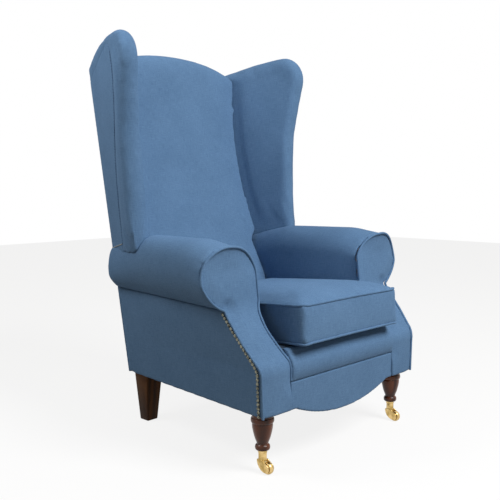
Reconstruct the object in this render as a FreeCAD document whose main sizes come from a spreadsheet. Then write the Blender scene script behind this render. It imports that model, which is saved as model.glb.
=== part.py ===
import FreeCAD, Part
import math
import os
import Sketcher

# High-back wing chair on two turned front legs with castors and two tapered rear legs.
# Frame: x across, y to the rear, z up, millimetres, origin on the floor under the middle.

V = FreeCAD.Vector
doc = FreeCAD.newDocument("WingChair")
sheet = doc.addObject("Spreadsheet::Sheet", "Sizes")

sizes = {
    # Body seen from above
    "front_face": 406,
    "rear_face": 248,
    "front_half": 345,
    "knee_spread": 5,
    "notch_half": 367,
    "rear_half": 290,
    "inner_half": 236,
    # Heights of the body
    "castor_height": 62,
    "body_bottom": 163,
    "rail_top": 241,
    "knee_height": 284,
    "notch_height": 435,
    "scroll_top": 601,
    "back_top": 1190,
    "back_corner": 1145,
    "rake_angle": 10.84,
    "flare_angle": 19.3,
    # Front of the arm
    "notch_setback": 118,
    "scroll_setback": 131,
    "scroll_lean": 15,
    "scroll_half": 436,
    "scroll_round": 96,
    "inner_round": 72,
    "scroll_crest": 334,
    "facing_bulge": 19,
    "facing_thick": 10,
    "stump_thick": 20,
    "stump_inset": 7,
    # Line of the padded arm behind its front
    "arm_peak": 623,
    "arm_peak_place": 65,
    "arm_rear_drop": 58,
    "arm_rear_half": 321,
    "arm_rear_crest": 275,
    # Covers and boards
    "side_cover": 8,
    "back_cover": 6,
    "webbing_thick": 2.5,
    "dust_cover_thick": 2.5,
    "strap_width": 50,
    "front_rail_thick": 40,
    "side_rail_thick": 20,
    "post_half": 277,
    "post_width": 37,
    "post_depth": 29.5,
    "post_top": 1125,
    "top_rail_bottom": 1080,
    "top_rail_cover": 22,
    "lumbar_rail_bottom": 290,
    "lumbar_rail_height": 45,
    "arm_rail_bottom": 520,
    "arm_rail_thick": 30,
    "block_depth": 56,
    # Apron and lip under the cushion
    "apron_thick": 10,
    "apron_middle": 120,
    "apron_arc_half": 214,
    "apron_turn_in": 4,
    "lip_depth": 30,
    "lip_height": 328,
    # Wing
    "wing_thick": 55,
    "wing_base": 404,
    "wing_foot": 244,
    "wing_waist": 292,
    "wing_waist_height": 738,
    "wing_ear": 354,
    "wing_ear_height": 915,
    "wing_shoulder": 300,
    "wing_shoulder_rise": 107,
    "wing_rear_rise": 85,
    "wing_border": 95,
    "wing_cover": 5,
    "wing_board_depth": 20,
    "wing_board_thick": 22,
    "wing_board_width": 45,
    "wing_board_inset": 26,
    "wing_inner_bevel": 14,
    "wing_outer_bevel": 9,
    # Seat deck and back pad
    "seat_slope": 4.1,
    "deck_front_height": 332,
    "pad_foot": 88,
    "pad_waist": 140,
    "pad_waist_height": 455,
    "pad_middle": 263,
    "pad_middle_height": 728,
    "pad_head": 324,
    "pad_head_height": 1095,
    "pad_crown": 16,
    "pad_bevel": 14,
    # Loose cushion
    "cushion_half": 219,
    "cushion_front": 64,
    "cushion_rear": 461,
    "cushion_side": 105,
    "cushion_crown": 33,
    "cushion_crown_reach": 96,
    "cushion_draw_in": 7,
    "cushion_gap": 0.4,
    # Turned front leg
    "leg_place": 300,
    "leg_front": 361,
    "leg_collar": 28,
    "leg_bead": 31.5,
    "leg_shaft": 26.6,
    "leg_neck": 15.6,
    "leg_ring": 20.5,
    "leg_pin": 10,
    "leg_pin_length": 50,
    # Tapered rear leg
    "rear_leg_foot": 40,
    "rear_leg_top": 64,
    "rear_leg_foot_place": 235,
    "rear_leg_top_place": 243,
    "rear_leg_foot_back": 216,
    "rear_leg_top_back": 203,
    # Castor
    "wheel_radius": 16,
    "wheel_width": 14,
    "wheel_gap": 1,
    "castor_trail": 20,
    "swivel_pin": 4,
    "swivel_head": 6,
    "swivel_plate": 12.5,
    "plate_thick": 6,
    "horn_hub_height": 12.4,
    "axle_radius": 2.5,
    "running_gap": 0.05,
    "play": 0.3,
    "cheek_thick": 3,
}
for row, (name, number) in enumerate(sizes.items(), start=1):
    sheet.set("A%d" % row, str(number))
    sheet.setAlias("A%d" % row, name)
doc.recompute()


class Size:
    """A number together with the sheet expression that it comes from."""

    def __init__(self, value, text):
        self.value = value
        self.text = text

    def __add__(self, other):
        other = size(other)
        return Size(self.value + other.value, "(%s + %s)" % (self.text, other.text))

    def __sub__(self, other):
        other = size(other)
        return Size(self.value - other.value, "(%s - %s)" % (self.text, other.text))

    def __mul__(self, other):
        other = size(other)
        return Size(self.value * other.value, "(%s * %s)" % (self.text, other.text))

    def __truediv__(self, other):
        other = size(other)
        return Size(self.value / other.value, "(%s / %s)" % (self.text, other.text))

    def __neg__(self):
        return Size(-self.value, "(0 - %s)" % self.text)

    def __radd__(self, other):
        return size(other) + self

    def __rsub__(self, other):
        return size(other) - self

    def __rmul__(self, other):
        return size(other) * self


def size(number):
    if isinstance(number, Size):
        return number
    text = repr(float(number)) if number >= 0 else "(0 - %r)" % -float(number)
    return Size(float(number), text)


def tan(angle):
    return Size(math.tan(math.radians(angle.value)), "tan(%s * 1 deg)" % angle.text)


def cos(angle):
    return Size(math.cos(math.radians(angle.value)), "cos(%s * 1 deg)" % angle.text)


S = {name: Size(float(number), "Sizes." + name) for name, number in sizes.items()}
sides = (("left", -1), ("right", 1))
failed = []
pieces = []


def bind(thing, target, amount):
    """Bind one property path to an expression of sheet cells."""
    thing.setExpression(target, size(amount).text)


# Sketch and feature helpers

def new_body(label, helper=False):
    """A body; one that only shapes or blanks another piece is a helper."""
    body = doc.addObject("PartDesign::Body", label)
    body.Label = label
    if not helper:
        pieces.append(body)
    return body


def place(body, x=0, y=0, z=0, turn="rotation(vector(1;0;0);0)"):
    """Bind a body's placement: its origin and a rotation written as an expression."""
    spots = tuple(size(amount).text for amount in (x, y, z))
    body.setExpression("Placement", "placement(vector(%s;%s;%s); %s)" % (spots + (turn,)))


def new_sketch(body, plane, offset=0):
    sketch = body.newObject("Sketcher::SketchObject", body.Label + "_sketch")
    origin = [f for f in body.Origin.OriginFeatures if f.Role == plane + "_Plane"][0]
    sketch.AttachmentSupport = (origin, [""])
    sketch.MapMode = "FlatFace"
    bind(sketch, ".AttachmentOffset.Base.z", offset)
    return sketch


def vector(pair):
    return V(pair[0].value, pair[1].value, 0)


def arc_through(start, via, end):
    """A counterclockwise sketch arc and whether it runs from end to start."""
    curve = Part.Circle(vector(start), vector(via), vector(end))
    centre = curve.Center
    turn = (vector(via) - vector(start)).cross(vector(end) - vector(via)).z
    first, last = (start, end) if turn > 0 else (end, start)
    low = math.atan2(first[1].value - centre.y, first[0].value - centre.x)
    high = math.atan2(last[1].value - centre.y, last[0].value - centre.x)
    if high < low:
        high += 2 * math.pi
    circle = Part.Circle(centre, V(0, 0, 1), curve.Radius)
    return Part.ArcOfCircle(circle, low, high), turn < 0


def draw(sketch, path):
    """Draw a closed outline. A pair is a corner reached by a line; four numbers are
    a point on an arc and the corner where it ends. The first entry closes the loop."""
    path = [tuple(size(number) for number in step) for step in path]
    base = sketch.GeometryCount
    corners = [step[-2:] for step in path]
    shapes = []
    tips = []
    for i, step in enumerate(path):
        if len(step) == 2:
            shapes.append(Part.LineSegment(vector(corners[i - 1]), vector(corners[i])))
            tips.append((1, 2))
        else:
            arc, flipped = arc_through(corners[i - 1], step[:2], corners[i])
            shapes.append(arc)
            tips.append((2, 1) if flipped else (1, 2))
    sketch.addGeometry(shapes, False)
    rules = []
    bound = []

    def hold(shape, point, pair):
        for kind, amount in (("DistanceX", pair[0]), ("DistanceY", pair[1])):
            bound.append((len(rules), amount))
            rules.append(Sketcher.Constraint(kind, shape, point, amount.value))

    count = len(path)
    for i in range(count):
        following = (i + 1) % count
        rules.append(Sketcher.Constraint(
            "Coincident", base + i, tips[i][1], base + following, tips[following][0]))
        hold(base + i, tips[i][1], corners[i])
    for i, step in enumerate(path):
        if len(step) == 4:
            mark = sketch.addGeometry(Part.Point(vector(step[:2])), True)
            hold(mark, 1, step[:2])
            rules.append(Sketcher.Constraint("PointOnObject", mark, 1, base + i))
    first = sketch.ConstraintCount
    sketch.addConstraint(rules)
    for index, amount in bound:
        if "Sizes." in amount.text:
            bind(sketch, "Constraints[%d]" % (first + index), amount)


def draw_circle(sketch, x, y, radius):
    x, y, radius = size(x), size(y), size(radius)
    mark = sketch.addGeometry(Part.Circle(V(x.value, y.value, 0), V(0, 0, 1), radius.value))
    first = sketch.ConstraintCount
    sketch.addConstraint([
        Sketcher.Constraint("DistanceX", mark, 3, x.value),
        Sketcher.Constraint("DistanceY", mark, 3, y.value),
        Sketcher.Constraint("Radius", mark, radius.value),
    ])
    for index, amount in enumerate((x, y, radius)):
        bind(sketch, "Constraints[%d]" % (first + index), amount)


def sketch_on(body, plane, spot, paths):
    """Sketch at a coordinate on the plane's own axis, with outlines or circles."""
    offset = -size(spot) if plane == "XZ" else size(spot)
    sketch = new_sketch(body, plane, offset)
    for path in paths:
        if isinstance(path[0], tuple):
            draw(sketch, path)
        else:
            draw_circle(sketch, *path)
    return sketch


def pad(body, plane, path, low, high, more=()):
    """Add material between two coordinates on the axis square to the plane."""
    low, high = size(low), size(high)
    start = high if plane == "XZ" else low
    feature = body.newObject("PartDesign::Pad", body.Label + "_pad")
    feature.Profile = sketch_on(body, plane, start, [path, *more])
    bind(feature, "Length", high - low)
    return feature


def pocket(body, plane, path, low, high):
    """Remove material between two coordinates on the axis square to the plane."""
    low, high = size(low), size(high)
    start = low if plane == "XZ" else high
    doc.recompute()
    before = body.Shape.Volume
    feature = body.newObject("PartDesign::Pocket", body.Label + "_pocket")
    feature.Profile = sketch_on(body, plane, start, [path])
    bind(feature, "Length", high - low)
    doc.recompute()
    if not body.Shape.Volume < before:
        failed.append(body.Label + " lost nothing to a pocket")
    return feature


def loft(body, plane, sections, ruled=False):
    """Join outlines drawn on parallel planes, each given with its coordinate."""
    sketches = [sketch_on(body, plane, spot, [path]) for spot, path in sections]
    feature = body.newObject("PartDesign::AdditiveLoft", body.Label + "_loft")
    feature.Profile = sketches[0]
    feature.Sections = sketches[1:]
    feature.Ruled = ruled
    return feature


def revolve(body, path):
    """Turn an outline in the x-z plane about the body's own z axis."""
    feature = body.newObject("PartDesign::Revolution", body.Label + "_turning")
    sketch = sketch_on(body, "XZ", 0, [path])
    feature.Profile = sketch
    feature.ReferenceAxis = (sketch, ["V_Axis"])
    feature.Angle = 360
    return feature


def bevel_edges(body, width, wanted):
    """Chamfer the edges that a test picks."""
    doc.recompute()
    edges = ["Edge%d" % (i + 1) for i, edge in enumerate(body.Shape.Edges) if wanted(edge)]
    base = body.Tip
    feature = body.newObject("PartDesign::Chamfer", body.Label + "_bevel")
    feature.Base = (base, edges)
    bind(feature, "Size", width)
    return feature


def carve(label, base, tools):
    """Cut neighbours and zones out of a blank, one boolean each."""
    for number, tool in enumerate(tools):
        cut = doc.addObject("Part::Cut", "%s_cut_%d" % (label, number))
        cut.Base = base
        cut.Tool = tool
        base = cut
    base.Label = label
    pieces.append(base)
    return base


def mirrored(side, path):
    """The outline with its x values on the wanted side."""
    turned = []
    for step in path:
        turned.append(tuple(side * n if i % 2 == 0 else n for i, n in enumerate(step)))
    return turned


def across(side, low, high):
    """The same span of x on either side of the middle."""
    return (low, high) if side > 0 else (-size(high), -size(low))


# Lines and planes that several pieces share

front_y = -S["front_face"]
rake = tan(S["rake_angle"])
across_rake = cos(S["rake_angle"])
seat_fall = tan(S["seat_slope"])
taper = (S["front_half"] - S["rear_half"]) / (S["front_face"] + S["rear_face"])
notch_y = front_y + S["notch_setback"]
stump_back = S["facing_thick"] + S["stump_thick"]
webbing_top = S["rail_top"] + S["webbing_thick"]
frame_depth = S["back_cover"] + S["post_depth"]
zone_depth = frame_depth + S["webbing_thick"]
post_inner = S["post_half"] - S["post_width"]
wing_shoulder = S["wing_ear_height"] + S["wing_shoulder_rise"]
wing_rear = S["wing_ear_height"] + S["wing_rear_rise"]


def rear(z, inset=0):
    """The raked rear face at a height, or a plane in front of it."""
    return S["rear_face"] + (z - S["body_bottom"]) * rake - inset


def side_x(y):
    """The upright plane on which the side cover lies."""
    return S["front_half"] - S["side_cover"] - (y - front_y) * taper


def roof_x(y):
    """The outer line of the side cover at the height of the notch."""
    run = rear(S["notch_height"]) - notch_y
    return S["notch_half"] - (y - notch_y) * ((S["notch_half"] - S["rear_half"]) / run)


def deck_z(y):
    """The sloping top of the seat deck."""
    return S["deck_front_height"] - (y - front_y - S["lip_depth"]) * seat_fall


def raked_band(low, high, near, far):
    """Side view of a board that stands between two planes along the raked rear."""
    return [
        (rear(low, near), low),
        (rear(low, far), low),
        (rear(high, far), high),
        (rear(high, near), high),
    ]


def arm_front(inset, beyond):
    """Side view of the bent front of the arm, moved back by inset, closed at beyond."""
    face = front_y + inset
    notch = notch_y + inset
    scroll = front_y + S["scroll_setback"] + inset
    knee = S["knee_height"]
    high = S["notch_height"]
    top = S["scroll_top"]
    return [
        (beyond, 80),
        (face, 80),
        (face, knee - 20),
        (face + 3, knee + 6, face + 17, knee + 26),
        (notch - 16, high - 22),
        (notch - 3, high - 1, notch + 4, high + 22),
        (scroll, top - 67),
        (scroll - 3, top - 30, scroll - S["scroll_lean"], top + 2),
        (scroll - S["scroll_lean"] - 10, top + 60),
        (beyond, top + 60),
    ]


# Frame members between the legs and the covers

def frame_rails():
    body = new_body("frame_front_rail")
    half = S["inner_half"] + S["stump_inset"]
    turn = S["apron_arc_half"] - 2
    pad(body, "XZ", [
        (-half, S["rail_top"]),
        (half, S["rail_top"]),
        (half, S["body_bottom"]),
        (turn, S["body_bottom"]),
        (0, S["apron_middle"] + S["apron_turn_in"], -turn, S["body_bottom"]),
        (-half, S["body_bottom"]),
    ], front_y + S["apron_thick"], front_y + S["apron_thick"] + S["front_rail_thick"])

    body = new_body("frame_back_rail")
    band = raked_band(S["body_bottom"], S["rail_top"], S["back_cover"], frame_depth)
    pad(body, "YZ", band, -post_inner, post_inner)

    body = new_body("frame_lumbar_rail")
    low = S["lumbar_rail_bottom"]
    band = raked_band(low, low + S["lumbar_rail_height"], S["back_cover"], frame_depth)
    pad(body, "YZ", band, -post_inner, post_inner)

    body = new_body("frame_top_rail")
    band = raked_band(S["top_rail_bottom"], S["back_top"], S["back_cover"], frame_depth)
    pad(body, "YZ", band, -post_inner, post_inner)
    pocket(body, "XZ", above_arch(S["top_rail_cover"]), 0, 600)


def above_arch(cover):
    """Front view of everything over the arched top, lowered by a cover."""
    half = S["rear_half"] + 200
    edge = S["back_corner"] - cover
    drop = (S["back_top"] - S["back_corner"]) * 1.85
    return [
        (-half, S["back_top"] + 200),
        (half, S["back_top"] + 200),
        (half, edge - drop),
        (0, S["back_top"] - cover, -half, edge - drop),
    ]


def frame_side(name, side):
    body = new_body("frame_side_rail_" + name)
    start = front_y + stump_back
    end = rear(S["rail_top"])
    thick = S["side_rail_thick"]
    pad(body, "XY", mirrored(side, [
        (side_x(start), start),
        (side_x(end), end),
        (side_x(end) - thick, end),
        (side_x(start) - thick, start),
    ]), S["body_bottom"], S["rail_top"])
    pocket(body, "YZ", raked_band(100, 300, -100, frame_depth), -400, 400)

    body = new_body("frame_back_post_" + name)
    band = raked_band(S["body_bottom"], S["post_top"], S["back_cover"], frame_depth)
    pad(body, "YZ", band, *across(side, post_inner, S["post_half"]))

    # The block in the front corner is bored for the pin of the turned leg.
    body = new_body("frame_front_block_" + name)
    end = start + S["block_depth"]
    inner = S["inner_half"] + S["stump_inset"]
    pad(body, "XY", mirrored(side, [
        (inner, front_y + S["apron_thick"] + S["front_rail_thick"]),
        (inner + 12, start),
        (side_x(start) - thick, start),
        (side_x(end) - thick, end),
        (inner, end),
    ]), S["body_bottom"], S["rail_top"], more=[
        (side * S["leg_place"], -S["leg_front"], S["leg_pin"])])

    body = new_body("frame_rear_block_" + name)
    start = rear(S["body_bottom"], frame_depth) - S["block_depth"]
    end = rear(S["rail_top"])
    inner = S["rear_leg_top_place"] - S["rear_leg_top"] / 2
    pad(body, "XY", mirrored(side, [
        (inner, start),
        (side_x(start) - thick, start),
        (side_x(end) - thick, end),
        (inner, end),
    ]), S["body_bottom"], S["rail_top"])
    pocket(body, "YZ", raked_band(100, 300, -100, frame_depth), -400, 400)


# Arm: stump, top rail, padded roll and the two covers

# Rolls drawn in short flats: shares of the way across and of the way up or down
INNER_ROLL = (0.153, 0.386, 0.677), (0.396, 0.711, 0.919)
OUTER_ROLL = (0.313, 0.603, 0.831, 0.969), (0.013, 0.141, 0.370, 0.668)
UNDER_ROLL = (0.233, 0.575), (0.422, 0.764)


def flats(start, end, across_parts, down_parts):
    """Corners between two points, each given by its share of the two distances."""
    wide, tall = end[0] - start[0], end[1] - start[1]
    corners = [(start[0] + wide * part, start[1] + tall * down)
               for part, down in zip(across_parts, down_parts)]
    return corners + [end]


def arm_frame(name, side):
    body = new_body("frame_arm_stump_" + name)
    inner = S["inner_half"] + S["stump_inset"]
    low_y = front_y + stump_back
    high_y = notch_y + stump_back
    under = S["notch_height"] + 2
    crest = S["scroll_top"] - S["stump_inset"]
    outer = S["scroll_half"] - S["stump_inset"] * 2
    side_z = S["scroll_top"] - S["scroll_round"]
    pad(body, "XZ", mirrored(side, [
        (inner, S["body_bottom"]),
        (inner, S["knee_height"]),
        (inner + 16, S["notch_height"] - 62),
        (inner, S["notch_height"] + 12),
        (inner - 2, crest - S["inner_round"]),
        *flats((inner - 2, crest - S["inner_round"]), (S["scroll_crest"], crest),
               *INNER_ROLL),
        *flats((S["scroll_crest"], crest), (outer, side_z), *OUTER_ROLL),
        (S["scroll_half"] - 41, S["notch_height"] + 38),
        (S["notch_half"] - 4, under + 10),
        (side_x(high_y) - 1, under),
        (side_x(high_y) - 1, S["notch_height"] - 30),
        (side_x(low_y), S["knee_height"]),
        (side_x(low_y), S["body_bottom"]),
    ]), front_y - 40, notch_y + 100)
    shape_front(body, S["facing_thick"], stump_back)
    stump = body

    body = new_body("frame_arm_rail_" + name)
    start = notch_y - 40
    end = rear(S["arm_rail_bottom"] + S["arm_rail_thick"], frame_depth)
    pad(body, "XY", mirrored(side, [
        (S["scroll_crest"] - 62, start),
        (S["scroll_crest"] + 10, start),
        (S["scroll_crest"] + 4, 80, S["rear_half"] + 8, end),
        (post_inner + 6, end),
    ]), S["arm_rail_bottom"], S["arm_rail_bottom"] + S["arm_rail_thick"])
    pocket(body, "YZ", arm_front(stump_back, front_y - 100), -500, 500)
    pocket(body, "YZ", raked_band(480, 600, -100, frame_depth), -500, 500)
    return stump, body


def shape_front(body, near, far):
    """Bend a thick blank to the arm's front line between two depths."""
    pocket(body, "YZ", arm_front(near, front_y - 100), -500, 500)
    pocket(body, "YZ", arm_front(far, front_y + 400), -500, 500)


def arm_facing(name, side):
    body = new_body("arm_facing_" + name)
    inner = S["inner_half"]
    bulge = S["facing_bulge"]
    crest = S["scroll_top"]
    crest_x = S["scroll_crest"]
    spring = crest - S["inner_round"]
    reach, wide = crest_x - inner + 2, S["scroll_half"] - crest_x
    side_z = crest - S["scroll_round"]
    pad(body, "XZ", mirrored(side, [
        (inner, S["body_bottom"]),
        (inner, S["knee_height"] + 14),
        (inner + bulge * 0.7, S["knee_height"] + 58, inner + bulge, S["notch_height"] - 62),
        (inner + bulge * 0.7, S["notch_height"] - 24, inner - 2, S["notch_height"] + 12),
        (inner - 2, spring),
        (inner - 2 + reach * 0.32, spring + (crest - spring) * 0.64, crest_x, crest),
        (crest_x + wide * 0.76, crest - (crest - side_z) * 0.28, S["scroll_half"], side_z),
        (S["scroll_half"] - 23, S["notch_height"] + 32, S["notch_half"], S["notch_height"]),
        (S["notch_half"] - 4, S["notch_height"] - 81),
        (S["front_half"] + S["knee_spread"], S["knee_height"]),
        (S["front_half"], S["body_bottom"]),
    ]), front_y - 40, notch_y + 60)
    shape_front(body, 0, S["facing_thick"])


def arm_section(top, half, crest, bulge, y):
    """Front view of the padded arm at one depth, its rolls drawn in short flats."""
    inner = S["inner_half"]
    spring = top - S["inner_round"]
    roll = top - S["scroll_round"]
    notch = S["notch_height"]
    edge = roof_x(y)
    return [
        (inner, webbing_top),
        (inner, S["knee_height"] + 14),
        (inner + bulge * 0.7, S["knee_height"] + 42),
        (inner + bulge, notch - 62),
        (inner + bulge * 0.7, notch - 24),
        (inner, notch + 6),
        (inner, spring),
        *flats((inner, spring), (crest, top), *INNER_ROLL),
        *flats((crest, top), (half, roll), *OUTER_ROLL),
        *flats((half, roll), (edge, notch), *UNDER_ROLL),
        (side_x(y), notch),
        (side_x(y), webbing_top),
    ]




def arm_pad(name, side, stump, rail, tools):
    body = new_body("arm_pad_blank_" + name, helper=True)
    front = front_y + 4
    peak = -S["arm_peak_place"]
    back = rear(S["arm_peak"] - 60)
    sections = []
    for part in (0, 0.3, 0.65, 1):
        y = front + (back - front) * part
        along = (y - notch_y) / (back - notch_y)
        ahead = (y - peak) / (back - peak)
        top = S["arm_peak"] - ahead * ahead * S["arm_rear_drop"]
        half = S["scroll_half"] + 1 + (S["arm_rear_half"] - S["scroll_half"]) * along
        crest = S["scroll_crest"] + (S["arm_rear_crest"] - S["scroll_crest"]) * along
        bulge = S["facing_bulge"] if part == 0 else size(7 - part * 5)
        sections.append((y, mirrored(side, arm_section(top, half, crest, bulge, y))))
    loft(body, "XZ", sections, ruled=True)
    pocket(body, "YZ", arm_front(S["facing_thick"], front_y - 100), -500, 500)
    carve("arm_pad_" + name, body, [stump, rail, *tools])


def outside_arm_panel(name, side):
    """The padded side cover: flat inside, and twisting outward to the notch outside."""
    body = new_body("outside_arm_panel_" + name)

    def section(z, outer):
        end = rear(z, S["back_cover"])
        return [
            (side_x(front_y), front_y),
            (outer, front_y),
            (S["rear_half"], end),
            (side_x(end), end),
        ]

    loft(body, "XY", [
        (S["body_bottom"], mirrored(side, section(S["body_bottom"], S["front_half"]))),
        (S["knee_height"], mirrored(side, section(
            S["knee_height"], S["front_half"] + S["knee_spread"]))),
        (S["notch_height"], mirrored(side, section(S["notch_height"], roof_x(front_y)))),
    ], ruled=True)
    pocket(body, "YZ", arm_front(S["facing_thick"], front_y - 100), -500, 500)


# Wing: everything is drawn in the wing's own raked and flared plane

def wing_body(label, side):
    """A helper body whose side view lies in the plane of the wing."""
    body = new_body(label, helper=True)
    turn = "rotation(vector(1;0;0);0 - Sizes.rake_angle) * rotation(vector(0;0;1);%s)"
    angle = "Sizes.flare_angle" if side > 0 else "(0 - Sizes.flare_angle)"
    place(body, side * S["rear_half"], S["rear_face"], S["body_bottom"], turn % angle)
    return body


def forward(path):
    """Outline given as distance forward and height, as the side view takes it."""
    turned = []
    for step in path:
        turned.append(tuple(-size(n) if i % 2 == 0 else n for i, n in enumerate(step)))
    return turned


def wing_outline(base, inset=0):
    """The wing from its base up, with its front and top edges drawn in by an inset."""
    waist, waist_z = S["wing_waist"] - inset, S["wing_waist_height"]
    ear, ear_z = S["wing_ear"] - inset, S["wing_ear_height"]
    top, top_z = S["wing_shoulder"] - inset, wing_shoulder - inset
    foot = S["wing_foot"] - inset
    return forward([
        (0, base),
        (foot, base),
        (foot + (waist - foot) * 0.36, base + (waist_z - base) * 0.47, waist, waist_z),
        (waist + (ear - waist) * 0.57, waist_z + (ear_z - waist_z) * 0.58, ear, ear_z),
        (ear - 9, ear_z + (top_z - ear_z) * 0.65, top, top_z),
        (top * 0.55, top_z + 15, 0, wing_rear - inset),
    ])


def wing_cover_outline():
    """The outside wing cover, a border's width in from the front and top."""
    border = S["wing_border"]
    waist_z = S["wing_waist_height"]
    ear = S["wing_ear"] - border
    top = wing_shoulder - 20
    rear_z = wing_rear - 50
    foot = S["wing_foot"] - border - 14
    return forward([
        (0, S["wing_base"]),
        (foot, S["wing_base"]),
        (foot + 13, waist_z - 174, S["wing_waist"] - border, waist_z - 8),
        (ear - 22, waist_z + 90, ear, S["wing_ear_height"] - 9),
        (ear + 3, top - 30),
        (ear - 10, top - 4, ear - 44, top),
        (ear * 0.4, rear_z + 30, 0, rear_z),
    ])


def wing_post_outline(base):
    inset, width = S["wing_board_inset"], S["wing_board_width"]
    foot, waist, ear = S["wing_foot"], S["wing_waist"], S["wing_ear"]
    waist_z, ear_z = S["wing_waist_height"], S["wing_ear_height"]
    front = [foot - inset, waist - inset, ear - inset]
    return forward([
        (front[0], base),
        (front[0] + (front[1] - front[0]) * 0.4, waist_z - 170, front[1], waist_z),
        (front[1] + (front[2] - front[1]) * 0.57, waist_z + 105, front[2], ear_z),
        (front[2] - 12, ear_z + 62),
        (front[2] - width - 10, ear_z + 74),
        (front[2] - width - 4, ear_z),
        (front[1] - width + 32, waist_z + 100, front[1] - width, waist_z),
        (front[0] - width + 19, waist_z - 170, front[0] - width, base),
    ])


def wing_rail_outline():
    end = S["wing_ear"] - S["wing_board_inset"] - S["wing_board_width"]
    low = S["wing_ear_height"] - 10
    high = wing_rear - 30
    return forward([
        (6, low),
        (end - 10, low + 18),
        (end - 10, high + 16),
        (end * 0.5, high + 14, 6, high),
    ])


def wing(name, side, posts, zone, rail_floor):
    thick = S["wing_thick"]
    deep = S["wing_board_depth"] + S["wing_board_thick"]

    body = wing_body("wing_post_blank_" + name, side)
    pad(body, "YZ", wing_post_outline(S["wing_base"] - 80),
        *across(side, -deep, -S["wing_board_depth"]))
    post = carve("frame_wing_post_" + name, body, [rail_floor])

    body = wing_body("wing_rail_blank_" + name, side)
    pad(body, "YZ", wing_rail_outline(), *across(side, -deep, -S["wing_board_depth"]))
    rail = carve("frame_wing_rail_" + name, body, [posts[name], post])

    block = wing_body("wing_block_" + name, side)
    pad(block, "YZ", wing_outline(S["wing_base"]), *across(side, -thick, 0))

    body = wing_body("wing_cover_blank_" + name, side)
    pad(body, "YZ", wing_cover_outline(), *across(side, -S["wing_cover"], 0))
    carve("outside_wing_panel_" + name, body, [zone])

    body = wing_body("wing_pad_blank_" + name, side)
    base, inner, outer = S["wing_base"], S["wing_inner_bevel"], S["wing_outer_bevel"]
    loft(body, "YZ", [
        (side * -thick, wing_outline(base, inner)),
        (side * (inner - thick), wing_outline(base)),
        (side * -outer, wing_outline(base)),
        (0, wing_outline(base, outer)),
    ], ruled=True)
    pocket(body, "YZ", wing_cover_outline(), *across(side, -S["wing_cover"], 0))
    carve("inside_wing_pad_" + name, body, [post, rail, zone])
    return post, block


# Zones that no padding enters

def frame_zone():
    """The raked space of the back frame and of the outside back cover."""
    body = new_body("back_frame_zone", helper=True)
    top = S["back_top"] + 40
    pad(body, "YZ", raked_band(180, top, -80, zone_depth), -S["post_half"], S["post_half"])
    pocket(body, "XZ", above_arch(S["top_rail_cover"]), 0, 800)
    pad(body, "YZ", raked_band(180, top, -80, S["back_cover"]), -460, 460)
    return body


def side_zone(name, side):
    """Everything beyond the inner face of a wing, above its base."""
    body = wing_body("wing_zone_" + name, side)
    pad(body, "YZ", forward([
        (-120, S["wing_base"]),
        (500, S["wing_base"]),
        (500, S["wing_ear_height"] + 400),
        (-120, S["wing_ear_height"] + 400),
    ]), *across(side, -S["wing_thick"], 300))
    return body


def floor_zone():
    """Everything below the top of the arm rails."""
    body = new_body("arm_rail_level", helper=True)
    top = S["arm_rail_bottom"] + S["arm_rail_thick"]
    pad(body, "XY", [(-500, -500), (500, -500), (500, 600), (-500, 600)], top - 200, top)
    return body


# Back

def back_section(crown):
    foot, waist, head = S["pad_foot"], S["pad_waist"], S["pad_head"]
    top = S["back_top"] + 20
    shift = size(crown)
    return [
        (foot, webbing_top),
        (foot, deck_z(foot) + 24),
        (waist - shift * 0.5, S["pad_waist_height"]),
        (S["pad_middle"] - shift, S["pad_middle_height"],
         head - shift * 0.6, S["pad_head_height"]),
        (head + 6, top),
        (rear(top), top),
        (rear(webbing_top), webbing_top),
    ]


def inside_back(zone, side_zones):
    body = new_body("inside_back_blank", helper=True)
    half = S["rear_half"]
    loft(body, "YZ", [
        (-half, back_section(size(0))),
        (0, back_section(S["pad_crown"])),
        (half, back_section(size(0))),
    ])
    pocket(body, "XZ", above_arch(0), 0, 800)
    for name, side in sides:
        spring = S["arm_peak"] - S["inner_round"] + 12
        pocket(body, "XZ", mirrored(side, [
            (S["inner_half"], 200),
            (S["inner_half"], spring),
            (S["rear_half"] + 20, spring + (S["rear_half"] + 20 - S["inner_half"])),
            (S["rear_half"] + 20, 200),
        ]), -100, 800)
    bevel_edges(body, S["pad_bevel"], front_of_arch)
    carve("inside_back_pad", body, [zone, *side_zones])


def front_of_arch(edge):
    box = edge.BoundBox
    return box.ZMax > S["back_top"].value - 1 and box.YMax < S["pad_head"].value + 20


def outside_back():
    body = new_body("outside_back_panel")
    band = raked_band(S["body_bottom"], S["back_top"] + 20, 0, S["back_cover"])
    pad(body, "YZ", band, -S["rear_half"], S["rear_half"])
    pocket(body, "XZ", above_arch(0), 0, 800)


# Seat

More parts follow.
